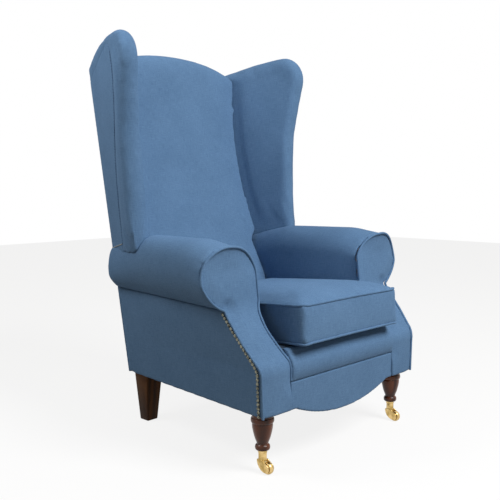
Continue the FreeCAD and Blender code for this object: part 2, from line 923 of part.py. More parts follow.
def seat():
    half = S["inner_half"]
    rear_of_lip = front_y + S["lip_depth"]

    body = new_body("front_apron")
    arc = S["apron_arc_half"]
    pad(body, "XZ", [
        (-half, S["rail_top"]),
        (half, S["rail_top"]),
        (half, S["body_bottom"]),
        (arc, S["body_bottom"]),
        (0, S["apron_middle"], -arc, S["body_bottom"]),
        (-half, S["body_bottom"]),
    ], front_y, front_y + S["apron_thick"])

    body = new_body("front_lip")
    top = S["lip_height"]
    pad(body, "YZ", [
        (front_y, S["rail_top"]),
        (front_y - 9, (S["rail_top"] + top) / 2, front_y + 8, top - 12),
        (front_y + 15, top - 2, rear_of_lip, top),
        (rear_of_lip, S["rail_top"]),
    ], -half, half)

    body = new_body("seat_deck")
    pad(body, "YZ", [
        (rear_of_lip, webbing_top),
        (rear_of_lip, deck_z(rear_of_lip)),
        (S["pad_foot"], deck_z(S["pad_foot"])),
        (S["pad_foot"], webbing_top),
    ], -half, half)

    body = new_body("seat_webbing")
    start = rear_of_lip + 1
    end = rear(S["rail_top"], S["back_cover"] + 4)
    width = S["strap_width"]
    lengthwise = [strap(half * (0.44 * n - 0.88), start, end, width, True)
                  for n in range(5)]
    crosswise = [strap(start + 66 + (end - start) * 0.25 * n, 0, 0, width, False)
                 for n in range(4)]
    pad(body, "XY", lengthwise[0], S["rail_top"], webbing_top, more=lengthwise[1:])
    pad(body, "XY", crosswise[0], S["rail_top"], webbing_top, more=crosswise[1:])

    body = new_body("dust_cover")
    low = S["body_bottom"] - S["dust_cover_thick"]
    start = front_y + S["apron_thick"] + S["front_rail_thick"]
    leg_clear = -S["leg_front"] + S["leg_collar"] + 4
    front_in = S["leg_place"] - S["leg_collar"] - 6
    rear_leg_front = S["rear_leg_top_back"] - S["rear_leg_top"] / 2 - 4
    rear_in = S["rear_leg_top_place"] - S["rear_leg_top"] / 2 - 3
    end = rear(low, S["back_cover"] + 10)
    right = [
        (front_in, start),
        (front_in, leg_clear),
        (side_x(leg_clear) - 6, leg_clear),
        (side_x(rear_leg_front) - 6, rear_leg_front),
        (rear_in, rear_leg_front),
        (rear_in, end),
    ]
    left = [(-x, y) for x, y in reversed(right)]
    pad(body, "XY", right + left, low, S["body_bottom"])


def strap(place_at, start, end, width, lengthwise):
    """Plan of one webbing strap, along the seat or from rail to rail."""
    low, high = place_at - width / 2, place_at + width / 2
    if lengthwise:
        return [(low, start), (high, start), (high, end), (low, end)]
    near, far = side_x(low) - 3, side_x(high) - 3
    return [(-near, low), (near, low), (far, high), (-far, high)]


def back_webbing():
    body = new_body("back_webbing")
    turn = "rotation(vector(1;0;0);0 - Sizes.rake_angle)"
    place(body, 0, S["rear_face"], S["body_bottom"], turn)
    width = S["strap_width"]
    low = S["lumbar_rail_bottom"] - S["body_bottom"] + 8
    high = S["top_rail_bottom"] - S["body_bottom"] + 40
    reach = S["post_half"] - 4
    uprights = []
    for n in (-1.5, -0.5, 0.5, 1.5):
        x = S["inner_half"] * (n * 0.55)
        left, right = x - width / 2, x + width / 2
        uprights.append([(left, low), (right, low), (right, high), (left, high)])
    across_straps = []
    for n in range(5):
        z = low + (high - low) * (0.17 + 0.155 * n)
        across_straps.append([
            (-reach, z), (reach, z), (reach, z + width), (-reach, z + width)])
    for straps in (uprights, across_straps):
        pad(body, "XZ", straps[0], -zone_depth * across_rake, -frame_depth * across_rake,
            more=straps[1:])


def cushion():
    """Loose box cushion: flat underneath, sides drawn in, crowned on top."""
    body = new_body("seat_cushion_box", helper=True)
    turn = "rotation(vector(1;0;0);0 - Sizes.seat_slope)"
    seat_front = front_y + S["lip_depth"]
    floor = deck_z(seat_front) + S["cushion_gap"]
    place(body, 0, seat_front, floor, turn)
    side, crown, bow = S["cushion_side"], S["cushion_crown"], S["cushion_draw_in"]
    half, front, end = S["cushion_half"], -S["cushion_front"], S["cushion_rear"]
    middle = (front + end) / 2
    pad(body, "XY", [
        (-half, front),
        (0, front + bow),
        (half, front),
        (half - bow, middle),
        (half, end),
        (0, end - bow),
        (-half, end),
        (-half + bow, middle),
    ], 0, side)
    bevel_edges(body, bow, lambda edge: lies_between(edge, -bow, bow))

    # The crown is two low frustums on top of the box.
    level = side * 1
    inset = bow
    layers = [body]
    for number, rise, reach in ((1, 0.6, 0.4), (2, 0.4, 0.6)):
        layer = doc.addObject("Part::Wedge", "seat_cushion_crown_%d" % number)
        wider = inset + S["cushion_crown_reach"] * reach
        spans = {
            "Xmin": inset - half, "Xmax": half - inset,
            "X2min": wider - half, "X2max": half - wider,
            "Zmin": inset - end, "Zmax": -front - inset,
            "Z2min": wider - end, "Z2max": -front - wider,
            "Ymin": level, "Ymax": level + crown * rise,
        }
        for target, amount in spans.items():
            bind(layer, target, amount)
        place(layer, 0, seat_front, floor, turn + " * rotation(vector(1;0;0);90)")
        layers.append(layer)
        inset = wider
        level = level + crown * rise
    fused = doc.addObject("Part::MultiFuse", "seat_cushion")
    fused.Shapes = layers
    fused.Label = "seat_cushion"
    pieces.append(fused)


def lies_between(edge, low, high):
    """Whether both ends of an edge stand between two heights over the sloping deck."""
    ends = [vertex.Point for vertex in edge.Vertexes]
    rises = [point.z - deck_z(size(point.y)).value for point in ends]
    return all(low.value < rise < high.value for rise in rises)


# Legs and castors

def front_leg(name, side):
    body = new_body("front_leg_" + name)
    place(body, side * S["leg_place"], -S["leg_front"], 0)
    low, high = S["castor_height"], S["body_bottom"]
    neck, shaft, bead, collar = S["leg_neck"], S["leg_shaft"], S["leg_bead"], S["leg_collar"]
    ring = S["leg_ring"]
    revolve(body, [
        (0, low),
        (ring, low),
        (ring, low + 12),
        (neck, low + 20),
        (shaft, high - 26),
        (bead, high - 26),
        (bead, high - 12),
        (collar, high - 12),
        (collar, high),
        (S["leg_pin"], high),
        (S["leg_pin"], high + S["leg_pin_length"]),
        (0, high + S["leg_pin_length"]),
    ])


def rear_leg(name, side):
    """Square leg that tapers and splays a little on its way to the floor."""
    leg = doc.addObject("Part::Wedge", "rear_leg_" + name)
    leg.Label = "rear_leg_" + name
    foot, top = S["rear_leg_foot"] / 2, S["rear_leg_top"] / 2
    shift_x = side * (S["rear_leg_top_place"] - S["rear_leg_foot_place"])
    shift_y = S["rear_leg_top_back"] - S["rear_leg_foot_back"]
    spans = {
        "Xmin": -foot, "Xmax": foot, "Zmin": -foot, "Zmax": foot,
        "X2min": shift_x - top, "X2max": shift_x + top,
        "Z2min": -shift_y - top, "Z2max": -shift_y + top,
        "Ymin": size(0), "Ymax": S["body_bottom"],
    }
    for target, amount in spans.items():
        bind(leg, target, amount)
    place(leg, side * S["rear_leg_foot_place"], S["rear_leg_foot_back"], 0,
          "rotation(vector(1;0;0);90)")
    pieces.append(leg)


def castor(name, side):
    """Brass castor: fixed socket, swivelling horn, axle and wheel."""
    x, y = side * S["leg_place"], -S["leg_front"]
    plate_low = S["castor_height"] - S["plate_thick"]
    hub_high = plate_low - S["play"]
    hub_low = hub_high - S["horn_hub_height"]
    head_high = hub_low - S["play"]
    head_low = head_high - 2
    axle_y = y - S["castor_trail"]
    axle_z = S["wheel_radius"]
    pin, head = S["swivel_pin"], S["swivel_head"]

    body = new_body("castor_socket_" + name)
    place(body, x, y, 0)
    revolve(body, [
        (0, head_low),
        (head, head_low),
        (head, head_high),
        (pin, head_high),
        (pin, plate_low),
        (S["swivel_plate"], plate_low),
        (S["swivel_plate"], S["castor_height"]),
        (0, S["castor_height"]),
    ])

    inside = S["wheel_width"] / 2 + S["wheel_gap"]
    outside = inside + S["cheek_thick"]
    body = new_body("castor_horn_" + name)
    pad(body, "YZ", [
        (y + 12, hub_high - 3),
        (y + 10, hub_high),
        (y - 11, hub_high),
        (y - 19, hub_high - 5),
        (y - 23, hub_low - 3),
        (axle_y - 8, axle_z + 12),
        (axle_y - 6.4, axle_z + 1),
        (axle_y, axle_z - 6.5, axle_y + 6.4, axle_z + 1),
        (axle_y + 9, axle_z + 13),
        (y - 1, hub_low - 4),
        (y + 9, hub_low),
        (y + 12, hub_low + 2),
    ], x - outside, x + outside)
    wheel_room = S["wheel_radius"] + 4
    pocket(body, "YZ", [
        (axle_y - wheel_room, -10),
        (y + head + 1, -10),
        (y + head + 1, hub_low),
        (y - 10.5, hub_low),
        (y - 17, hub_low - 1.5),
        (axle_y - wheel_room, hub_low - 6),
    ], x - inside, x + inside)
    pocket(body, "XY", (x, y, pin + S["running_gap"]), 20, 80)
    pocket(body, "YZ", (axle_y, axle_z, S["axle_radius"]), x - 40, x + 40)

    body = new_body("castor_axle_" + name)
    pad(body, "YZ", (axle_y, axle_z, S["axle_radius"]), x - outside - 0.8, x + outside + 0.8)

    body = new_body("castor_wheel_" + name)
    turn = "rotation(vector(0;1;0);90)"
    place(body, x, axle_y, axle_z, turn)
    radius, half = S["wheel_radius"], S["wheel_width"] / 2
    bore = S["axle_radius"] + S["running_gap"]
    revolve(body, [
        (bore, -half),
        (radius, -half),
        (radius, half),
        (bore, half),
    ])


# Assembly

frame_rails()
for name, side in sides:
    frame_side(name, side)
    front_leg(name, side)
    rear_leg(name, side)
    castor(name, side)
    arm_facing(name, side)
    outside_arm_panel(name, side)

zone = frame_zone()
rail_floor = floor_zone()
posts = {name: doc.getObject("frame_back_post_" + name) for name, side in sides}
side_zones = []
for name, side in sides:
    stump, rail = arm_frame(name, side)
    post, block = wing(name, side, posts, zone, rail_floor)
    arm_pad(name, side, stump, rail, [post, block, zone])
    side_zones.append(side_zone(name, side))
inside_back(zone, side_zones)
outside_back()
seat()
back_webbing()
cushion()
doc.recompute()

# Every finished piece is one valid solid before any file is written

for thing in doc.Objects:
    if any(state in ("Invalid", "Error") for state in thing.State):
        failed.append(thing.Label + " " + str(thing.State))
for piece in pieces:
    shape = piece.Shape
    if shape.isNull() or not shape.isValid() or len(shape.Solids) != 1:
        failed.append(piece.Label + " is not one valid solid")
if failed:
    raise RuntimeError("; ".join(failed))
os.makedirs("parts", exist_ok=True)
for piece in pieces:
    piece.Shape.exportStep("parts/%s.step" % piece.Label)
print("%d pieces written" % len(pieces))
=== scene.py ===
import math
import bmesh
import bpy
import numpy as np
from mathutils import Matrix, Vector
from mathutils.bvhtree import BVHTree
from mathutils.kdtree import KDTree


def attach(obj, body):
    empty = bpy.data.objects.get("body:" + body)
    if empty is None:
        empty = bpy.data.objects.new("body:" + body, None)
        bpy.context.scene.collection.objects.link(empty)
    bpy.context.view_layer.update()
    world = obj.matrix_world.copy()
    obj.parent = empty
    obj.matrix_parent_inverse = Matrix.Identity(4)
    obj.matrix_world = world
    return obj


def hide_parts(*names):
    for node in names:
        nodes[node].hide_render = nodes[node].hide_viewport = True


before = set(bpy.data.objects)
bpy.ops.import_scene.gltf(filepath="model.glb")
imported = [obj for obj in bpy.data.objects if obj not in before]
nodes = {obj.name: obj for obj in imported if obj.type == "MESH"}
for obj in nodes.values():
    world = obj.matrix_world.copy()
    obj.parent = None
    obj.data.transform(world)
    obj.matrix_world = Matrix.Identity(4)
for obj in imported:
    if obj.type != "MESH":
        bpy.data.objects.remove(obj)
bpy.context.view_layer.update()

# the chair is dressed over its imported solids; lengths are in metres, angles in degrees
scene = bpy.context.scene
bpy.ops.object.select_all(action="DESELECT")
print("frame loaded, %d nodes" % len(nodes))


# camera at the photograph's angle
cameraSet = {
    "place": (-1.657, -1.656, 0.769),
    "azimuth": -45.62,      # turned round the chair from the front
    "pitch": 5.71,          # looking down
    "roll": -0.28,
    "lens": 52.39, "sensor": 36,
    "shiftX": -0.0056, "shiftY": 0.0108,
}


def addCamera(look):
    turn, down = math.radians(look["azimuth"]), math.radians(look["pitch"])
    ahead = Vector((-math.sin(turn) * math.cos(down), math.cos(turn) * math.cos(down),
                    -math.sin(down)))
    bpy.ops.object.camera_add(location=look["place"])
    camera = bpy.context.object
    camera.name = "photoCamera"
    camera.rotation_mode = "QUATERNION"
    facing = ahead.to_track_quat("-Z", "Y")
    tilt = Matrix.Rotation(math.radians(look["roll"]), 3, "Z").to_quaternion()
    camera.rotation_quaternion = facing @ tilt
    camera.data.sensor_width = look["sensor"]
    camera.data.lens = look["lens"]
    camera.data.shift_x = look["shiftX"]
    camera.data.shift_y = look["shiftY"]
    scene.camera = camera


addCamera(cameraSet)


# picking, copying, joining and finishing pieces
mergeDistance = 0.00002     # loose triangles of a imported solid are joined
poleDistance = 0.00005      # points that meet on the axis of a turned shape are joined
crispAngle = 38             # sharper edges than this stay crisp


def justThis(piece):
    bpy.ops.object.select_all(action="DESELECT")
    piece.select_set(True)
    bpy.context.view_layer.objects.active = piece


def editAll(piece):
    justThis(piece)
    bpy.ops.object.mode_set(mode="EDIT")
    bpy.ops.mesh.select_all(action="SELECT")


def applyModifiers(piece):
    justThis(piece)
    for name in [modifier.name for modifier in piece.modifiers]:
        bpy.ops.object.modifier_apply(modifier=name)


def bevelEdges(piece, width, angle, segments=3):
    modifier = piece.modifiers.new("edge", "BEVEL")
    modifier.width = width
    modifier.segments = segments
    modifier.limit_method = "ANGLE"
    modifier.angle_limit = math.radians(angle)
    applyModifiers(piece)


def joinPieces(pieces):
    bpy.ops.object.select_all(action="DESELECT")
    for piece in pieces:
        piece.select_set(True)
    bpy.context.view_layer.objects.active = pieces[0]
    bpy.ops.object.join()
    return pieces[0]


def addPiece(name, mesh):
    piece = bpy.data.objects.new(name, mesh)
    scene.collection.objects.link(piece)
    return piece


def fromNodes(name, *wanted):
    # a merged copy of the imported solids, the start of a padded piece
    work = bmesh.new()
    for node in wanted:
        work.from_mesh(nodes[node].data)
    bmesh.ops.remove_doubles(work, verts=work.verts, dist=mergeDistance)
    bmesh.ops.recalc_face_normals(work, faces=work.faces)
    mesh = bpy.data.meshes.new(name)
    work.to_mesh(mesh)
    work.free()
    return addPiece(name, mesh)


def treeOf(*wanted):
    # nearest-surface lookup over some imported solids
    spots, faces = [], []
    for node in wanted:
        mesh = nodes[node].data
        start = len(spots)
        spots += [vertex.co.copy() for vertex in mesh.vertices]
        faces += [tuple(start + index for index in face.vertices) for face in mesh.polygons]
    return BVHTree.FromPolygons(spots, faces)


def meshTree(piece):
    return BVHTree.FromPolygons([vertex.co.copy() for vertex in piece.data.vertices],
                                [tuple(face.vertices) for face in piece.data.polygons])


def smoothStep(value, low, high):
    part = min(1.0, max(0.0, (value - low) / (high - low)))
    return part * part * (3 - 2 * part)


def copyAcross(piece, name):
    # the same piece on the other side of the chair
    mesh = piece.data.copy()
    mesh.transform(Matrix.Scale(-1, 4, (1, 0, 0)))
    mesh.flip_normals()
    return addPiece(name, mesh)


def clothUv(piece):
    # threads lie along the nearest two axes, at their real size
    editAll(piece)
    bpy.ops.uv.cube_project(cube_size=1.0, correct_aspect=False, clip_to_bounds=False,
                            scale_to_bounds=False)
    bpy.ops.object.mode_set(mode="OBJECT")
    piece.data.uv_layers.active.name = "cloth"


def dress(piece, material, body, slotName, *replaced):
    piece.data.materials.clear()
    piece.data.materials.append(material)
    justThis(piece)
    bpy.ops.object.shade_smooth()
    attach(piece, body)
    if replaced:
        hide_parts(*replaced)
    bpy.ops.object.select_all(action="DESELECT")
    return piece


# materials: woven cloth, wood, metal and jute
def startMaterial(name):
    material = bpy.data.materials.new(name)
    material.use_nodes = True
    tree = material.node_tree
    return material, tree, tree.nodes["Principled BSDF"]


def addNode(tree, kind, inputs=None, **settings):
    node = tree.nodes.new(kind)
    for key, value in settings.items():
        setattr(node, key, value)
    for key, value in (inputs or {}).items():
        if isinstance(value, bpy.types.NodeSocket):
            tree.links.new(value, node.inputs[key])
        else:
            node.inputs[key].default_value = value
    return node


def mathNode(tree, operation, first, second=0.0, third=0.0):
    inputs = {0: first, 1: second, 2: third}
    return addNode(tree, "ShaderNodeMath", inputs, operation=operation).outputs[0]


def noise(tree, spot, scale, detail, **more):
    inputs = {"Vector": spot, "Scale": scale, "Detail": detail, **more}
    return addNode(tree, "ShaderNodeTexNoise", inputs).outputs[0]


def twoTone(tree, value, places, look):
    # dark up to the first place of the pattern, light from the second
    ramp = addNode(tree, "ShaderNodeValToRGB", {0: value})
    for index, shade in enumerate(("dark", "light")):
        ramp.color_ramp.elements[index].position = places[index]
        ramp.color_ramp.elements[index].color = (*look[shade], 1)
    return ramp.outputs[0]


def addBump(tree, shader, height, strength, distance):
    inputs = {"Height": height, "Strength": strength, "Distance": distance}
    bump = addNode(tree, "ShaderNodeBump", inputs)
    tree.links.new(bump.outputs[0], shader.inputs["Normal"])


def mixColour(tree, share, first, second):
    node = addNode(tree, "ShaderNodeMix", data_type="RGBA")
    for index, value in ((0, share), (6, first), (7, second)):
        if isinstance(value, bpy.types.NodeSocket):
            tree.links.new(value, node.inputs[index])
        elif index == 0:
            node.inputs[index].default_value = value
        else:
            node.inputs[index].default_value = (*value, 1)
    return node.outputs[2]


weaveSet = {
    "slubRun": 38,                  # thick and thin places per metre of thread
    "mottle": 9.0, "heather": 420.0,
    "slubShare": 0.95, "tintShare": 0.26, "tones": (0.52, 0.94),
    "threadHeight": 0.7, "slubHeight": 0.9, "depth": 0.35,      # depth as a share of the pitch
    "roughSpread": 0.12, "sheenRough": 0.5, "specular": 0.12,
}
woodSet = {
    "grain": 46.0, "pores": 260.0, "bands": 11.0,
    "grainShare": 0.65, "bandShare": 0.35, "tones": (0.25, 0.75),
    "roughSpread": 0.14, "depth": 0.0004, "coatRough": 0.1,
}
metalSet = {"fine": 900.0, "tones": (0.36, 0.6), "roughSpread": 0.16, "bump": 0.12, "depth": 0.0002}
juteSet = {
    "rib": 180.0, "fuzz": 700.0, "dark": (0.2, 0.14, 0.08), "light": (0.46, 0.35, 0.22),
    "bump": 0.5, "depth": 0.0005, "rough": 0.9,
}


def clothMaterial(name, look):
    # plain weave: each thread goes over one and under the next, with slubs along it
    material, tree, shader = startMaterial(name)
    uv = addNode(tree, "ShaderNodeUVMap", uv_map="cloth").outputs[0]
    apart = addNode(tree, "ShaderNodeSeparateXYZ", {0: uv})
    count, run = 1 / look["pitch"], weaveSet["slubRun"]
    humps, steps, slubs = [], [], []
    for axis, stretch in enumerate(((count, run, 1), (run, count, 1))):
        thread = mathNode(tree, "MULTIPLY", apart.outputs[axis], count)
        wave = mathNode(tree, "SINE", mathNode(tree, "MULTIPLY", thread, math.pi))
        humps.append(mathNode(tree, "ABSOLUTE", wave))
        steps.append(mathNode(tree, "FLOOR", thread))
        along = addNode(tree, "ShaderNodeMapping", {"Vector": uv, "Scale": stretch}).outputs[0]
        slubs.append(noise(tree, along, 1.0, 2.0))
    over = mathNode(tree, "PINGPONG", mathNode(tree, "ADD", *steps), 1.0)
    under = mathNode(tree, "SUBTRACT", 1.0, over)
    threads = mathNode(tree, "ADD", mathNode(tree, "MULTIPLY", humps[0], over),
                       mathNode(tree, "MULTIPLY", humps[1], under))
    slub = mathNode(tree, "MULTIPLY", mathNode(tree, "ADD", *slubs), 0.5)
    spot = addNode(tree, "ShaderNodeTexCoord").outputs["Object"]
    mottle = noise(tree, spot, weaveSet["mottle"], 4.0)
    heather = noise(tree, spot, weaveSet["heather"], 2.0)
    tones = mathNode(tree, "MULTIPLY", mathNode(tree, "ADD", mottle, heather), weaveSet["tintShare"])
    shade = mathNode(tree, "ADD", mathNode(tree, "MULTIPLY", slub, weaveSet["slubShare"]), tones)
    gaps = mathNode(tree, "MULTIPLY_ADD", threads, look["contrast"], 1 - look["contrast"])
    tint = addNode(tree, "ShaderNodeVectorMath", {0: twoTone(tree, shade, weaveSet["tones"], look)},
                   operation="SCALE")
    tree.links.new(gaps, tint.inputs["Scale"])
    tree.links.new(tint.outputs[0], shader.inputs["Base Color"])
    height = mathNode(tree, "ADD", mathNode(tree, "MULTIPLY", threads, weaveSet["threadHeight"]),
                      mathNode(tree, "MULTIPLY", slub, weaveSet["slubHeight"]))
    addBump(tree, shader, height, look["bump"], look["pitch"] * weaveSet["depth"])
    rough = mathNode(tree, "MULTIPLY_ADD", mottle, weaveSet["roughSpread"], look["rough"])
    tree.links.new(rough, shader.inputs["Roughness"])
    shader.inputs["Sheen Weight"].default_value = look["sheen"]
    shader.inputs["Sheen Roughness"].default_value = weaveSet["sheenRough"]
    shader.inputs["Sheen Tint"].default_value = (*look["haze"], 1)
    shader.inputs["Specular IOR Level"].default_value = weaveSet["specular"]
    return material


def woodMaterial(name, look):
    # grain and growth bands drawn out along the upright, with fine pores
    material, tree, shader = startMaterial(name)
    spot = addNode(tree, "ShaderNodeTexCoord").outputs["Object"]
    stretch = addNode(tree, "ShaderNodeMapping", {"Vector": spot, "Scale": look["stretch"]}).outputs[0]
    grain = noise(tree, stretch, woodSet["grain"], 8.0, Roughness=0.62, Distortion=0.6)
    pores = noise(tree, stretch, woodSet["pores"], 3.0)
    bandInputs = {"Vector": stretch, "Scale": woodSet["bands"], "Distortion": 6.0, "Detail": 3.0}
    bands = addNode(tree, "ShaderNodeTexWave", bandInputs, bands_direction="X").outputs[0]
    mix = mathNode(tree, "ADD", mathNode(tree, "MULTIPLY", grain, woodSet["grainShare"]),
                   mathNode(tree, "MULTIPLY", bands, woodSet["bandShare"]))
    tree.links.new(twoTone(tree, mix, woodSet["tones"], look), shader.inputs["Base Color"])
    rough = mathNode(tree, "MULTIPLY_ADD", pores, woodSet["roughSpread"], look["rough"])
    tree.links.new(rough, shader.inputs["Roughness"])
    addBump(tree, shader, pores, look["bump"], woodSet["depth"])
    shader.inputs["Specular IOR Level"].default_value = look["shine"]
    shader.inputs["Coat Weight"].default_value = look["coat"]
    shader.inputs["Coat Roughness"].default_value = woodSet["coatRough"]
    return material


def metalMaterial(name, look):
    # brass with patches of age and a fine unevenness
    material, tree, shader = startMaterial(name)
    spot = addNode(tree, "ShaderNodeTexCoord").outputs["Object"]
    age = noise(tree, spot, look["patch"], 6.0)
    fine = noise(tree, spot, metalSet["fine"], 2.0)
    tree.links.new(twoTone(tree, age, metalSet["tones"], look), shader.inputs["Base Color"])
    rough = mathNode(tree, "MULTIPLY_ADD", age, metalSet["roughSpread"], look["rough"])
    tree.links.new(rough, shader.inputs["Roughness"])
    addBump(tree, shader, fine, metalSet["bump"], metalSet["depth"])
    shader.inputs["Metallic"].default_value = 1.0
    return material


def juteMaterial(name, look):
    # herringbone webbing, only seen if the covers are taken off
    material, tree, shader = startMaterial(name)
    spot = addNode(tree, "ShaderNodeTexCoord").outputs["Object"]
    ribInputs = {"Vector": spot, "Scale": look["rib"], "Distortion": 1.5, "Detail": 2.0}
    rib = addNode(tree, "ShaderNodeTexWave", ribInputs, bands_direction="DIAGONAL").outputs[0]
    fuzz = noise(tree, spot, look["fuzz"], 3.0)
    colour = mixColour(tree, mathNode(tree, "MULTIPLY", rib, fuzz), look["dark"], look["light"])
    tree.links.new(colour, shader.inputs["Base Color"])
    addBump(tree, shader, rib, look["bump"], look["depth"])
    shader.inputs["Roughness"].default_value = look["rough"]
    return material


blueLinen = clothMaterial("blueLinen", {
    "pitch": 0.0013, "dark": (0.082, 0.166, 0.3), "light": (0.142, 0.264, 0.45),
    "contrast": 0.22, "bump": 0.5, "rough": 0.8, "sheen": 0.1, "haze": (0.4, 0.62, 0.95)})
platformCloth = clothMaterial("platformCloth", {
    "pitch": 0.0016, "dark": (0.06, 0.1, 0.16), "light": (0.1, 0.15, 0.22),
    "contrast": 0.25, "bump": 0.5, "rough": 0.82, "sheen": 0.1, "haze": (0.5, 0.6, 0.8)})
blackCloth = clothMaterial("blackCloth", {
    "pitch": 0.0011, "dark": (0.012, 0.012, 0.013), "light": (0.03, 0.03, 0.031),
    "contrast": 0.3, "bump": 0.4, "rough": 0.85, "sheen": 0.05, "haze": (0.6, 0.6, 0.6)})
seamThread = clothMaterial("seamThread", {
    "pitch": 0.0009, "dark": (0.03, 0.06, 0.11), "light": (0.06, 0.11, 0.19),
    "contrast": 0.3, "bump": 0.4, "rough": 0.7, "sheen": 0.05, "haze": (0.5, 0.6, 0.8)})
beechTimber = woodMaterial("beechTimber", {
    "stretch": (1, 1, 0.12), "dark": (0.34, 0.21, 0.11), "light": (0.52, 0.36, 0.21),
    "rough": 0.55, "bump": 0.25, "coat": 0.0, "shine": 0.3})
mahogany = woodMaterial("mahogany", {
    "stretch": (1, 1, 0.18), "dark": (0.022, 0.006, 0.003), "light": (0.15, 0.045, 0.017),
    "rough": 0.25, "bump": 0.12, "coat": 0.22, "shine": 0.2})
walnutLeg = woodMaterial("walnutLeg", {
    "stretch": (1, 1, 0.12), "dark": (0.022, 0.009, 0.004), "light": (0.13, 0.055, 0.02),
    "rough": 0.42, "bump": 0.14, "coat": 0.03, "shine": 0.06})
polishedBrass = metalMaterial("polishedBrass", {
    "patch": 60.0, "dark": (0.46, 0.31, 0.1), "light": (0.8, 0.58, 0.26), "rough": 0.22})
antiqueBrass = metalMaterial("antiqueBrass", {
    "patch": 160.0, "dark": (0.04, 0.042, 0.036), "light": (0.22, 0.22, 0.17), "rough": 0.26})
juteWebbing = juteMaterial("juteWebbing", juteSet)

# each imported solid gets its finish, also those that a piece below replaces
for nodeName, node in nodes.items():
    finish = beechTimber
    if "webbing" in nodeName:
        finish = juteWebbing
    elif nodeName.startswith("castor"):
        finish = polishedBrass
    elif nodeName.startswith("front_leg"):
        finish = mahogany
    elif nodeName.startswith("rear_leg"):
        finish = walnutLeg
    node.data.materials.clear()
    node.data.materials.append(finish)
print("materials made")


# padding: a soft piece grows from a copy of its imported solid
skinSet = {"quality": 4, "mass": 0.3, "stretch": 15, "shear": 5, "bend": 2.0, "frames": 20}
padSet = {
    "spread": 4,                    # rounds that even out the distance from the seams
    "seam": 0.001,                  # nearer than this counts as sewn down
    "first": 2, "least": 0.25,      # the first rounds soften the sewn edges a little too
    "swellFrom": 0.008, "swellTo": 0.045,
}


def remesh(piece, voxel):
    modifier = piece.modifiers.new("even", "REMESH")
    modifier.mode = "VOXEL"
    modifier.voxel_size = voxel
    modifier.use_smooth_shade = True
    applyModifiers(piece)


def nearness(piece, neighbours):
    # how far each point is from what the piece is sewn or tucked against
    tree = treeOf(*neighbours)
    return np.array([tree.find_nearest(vertex.co)[3] for vertex in piece.data.vertices])


def pointsOf(piece):
    spots = np.empty(len(piece.data.vertices) * 3)
    piece.data.vertices.foreach_get("co", spots)
    return spots.reshape(-1, 3)


def setPoints(piece, spots):
    piece.data.vertices.foreach_set("co", spots.ravel())
    piece.data.update()


def evenOut(piece, values, rounds, share=None):
    # each point takes on half of its neighbours' mean, round by round
    pairs = np.empty(len(piece.data.edges) * 2, dtype=np.int32)
    piece.data.edges.foreach_get("vertices", pairs)
    first, second = pairs.reshape(-1, 2).T
    size = len(values)
    count = np.maximum(np.bincount(first, minlength=size) + np.bincount(second, minlength=size), 1)
    part = 0.5 if share is None else 0.5 * share[:, None]
    for step in range(rounds):
        sums = [np.bincount(first, values[second, axis], size)
                + np.bincount(second, values[first, axis], size) for axis in range(3)]
        values = values + (np.stack(sums, axis=1) / count[:, None] - values) * part
    return values


def soften(piece, rounds, share=None):
    setPoints(piece, evenOut(piece, pointsOf(piece), rounds, share))


def refill(piece, node, rounds, gain=1.0):
    # gives back the stuffing that softening took out, without the sharp edges
    tree = treeOf(node)
    spots = pointsOf(piece)
    lost = np.array([tree.find_nearest(Vector(spot))[0] for spot in spots]) - spots
    setPoints(piece, spots + evenOut(piece, lost, rounds) * gain)


def inflate(piece, held, recipe, share=1.0):
    # a closed cloth skin, blown up a little and held where it is sewn
    before = pointsOf(piece)
    group = piece.vertex_groups.new(name="held")
    group.add([index for index, keep in enumerate(held) if keep], 1.0, "REPLACE")
    modifier = piece.modifiers.new("cloth", "CLOTH")
    cloth = modifier.settings
    cloth.quality = skinSet["quality"]
    cloth.mass = skinSet["mass"]
    cloth.tension_stiffness = skinSet["stretch"]
    cloth.compression_stiffness = skinSet["stretch"]
    cloth.shear_stiffness = skinSet["shear"]
    cloth.bending_stiffness = skinSet["bend"]
    cloth.use_pressure = True
    cloth.uniform_pressure_force = recipe["pressure"]
    cloth.vertex_group_mass = "held"
    cloth.effector_weights.gravity = 0
    modifier.collision_settings.use_collision = False
    for moment in range(1, skinSet["frames"] + 1):
        scene.frame_set(moment)
    applyModifiers(piece)
    scene.frame_set(1)
    piece.vertex_groups.clear()
    move = pointsOf(piece) - before
    far = np.linalg.norm(move, axis=1)
    keep = recipe["cap"] / np.maximum(far, recipe["cap"])
    move = move * (keep * share)[:, None]
    setPoints(piece, before + evenOut(piece, move, recipe["settle"]))


def subdivide(piece):
    modifier = piece.modifiers.new("fine", "SUBSURF")
    modifier.levels = 1
    modifier.render_levels = 1
    applyModifiers(piece)


def pad(name, node, neighbours, recipe):
    # copy, even mesh, round the free edges, fill out again, inflate, one subdivision
    piece = fromNodes(name, node)
    remesh(piece, recipe["voxel"])
    away = nearness(piece, neighbours)
    away = evenOut(piece, away[:, None] * np.ones(3), padSet["spread"])[:, 0]
    free = np.array([smoothStep(distance, padSet["seam"], recipe["reach"]) for distance in away])
    soften(piece, padSet["first"], padSet["least"] + (1 - padSet["least"]) * free)
    soften(piece, recipe["round"], free)
    refill(piece, node, recipe["round"], recipe.get("gain", 1.0))
    if recipe.get("cap"):
        share = np.array([smoothStep(distance, padSet["swellFrom"], padSet["swellTo"])
                          for distance in away])
        inflate(piece, away < recipe["sewn"], recipe, share)
    if recipe.get("fine", True):
        subdivide(piece)
    if recipe.get("shape"):
        recipe["shape"](piece)
    print("padded", name, len(piece.data.vertices))
    return piece


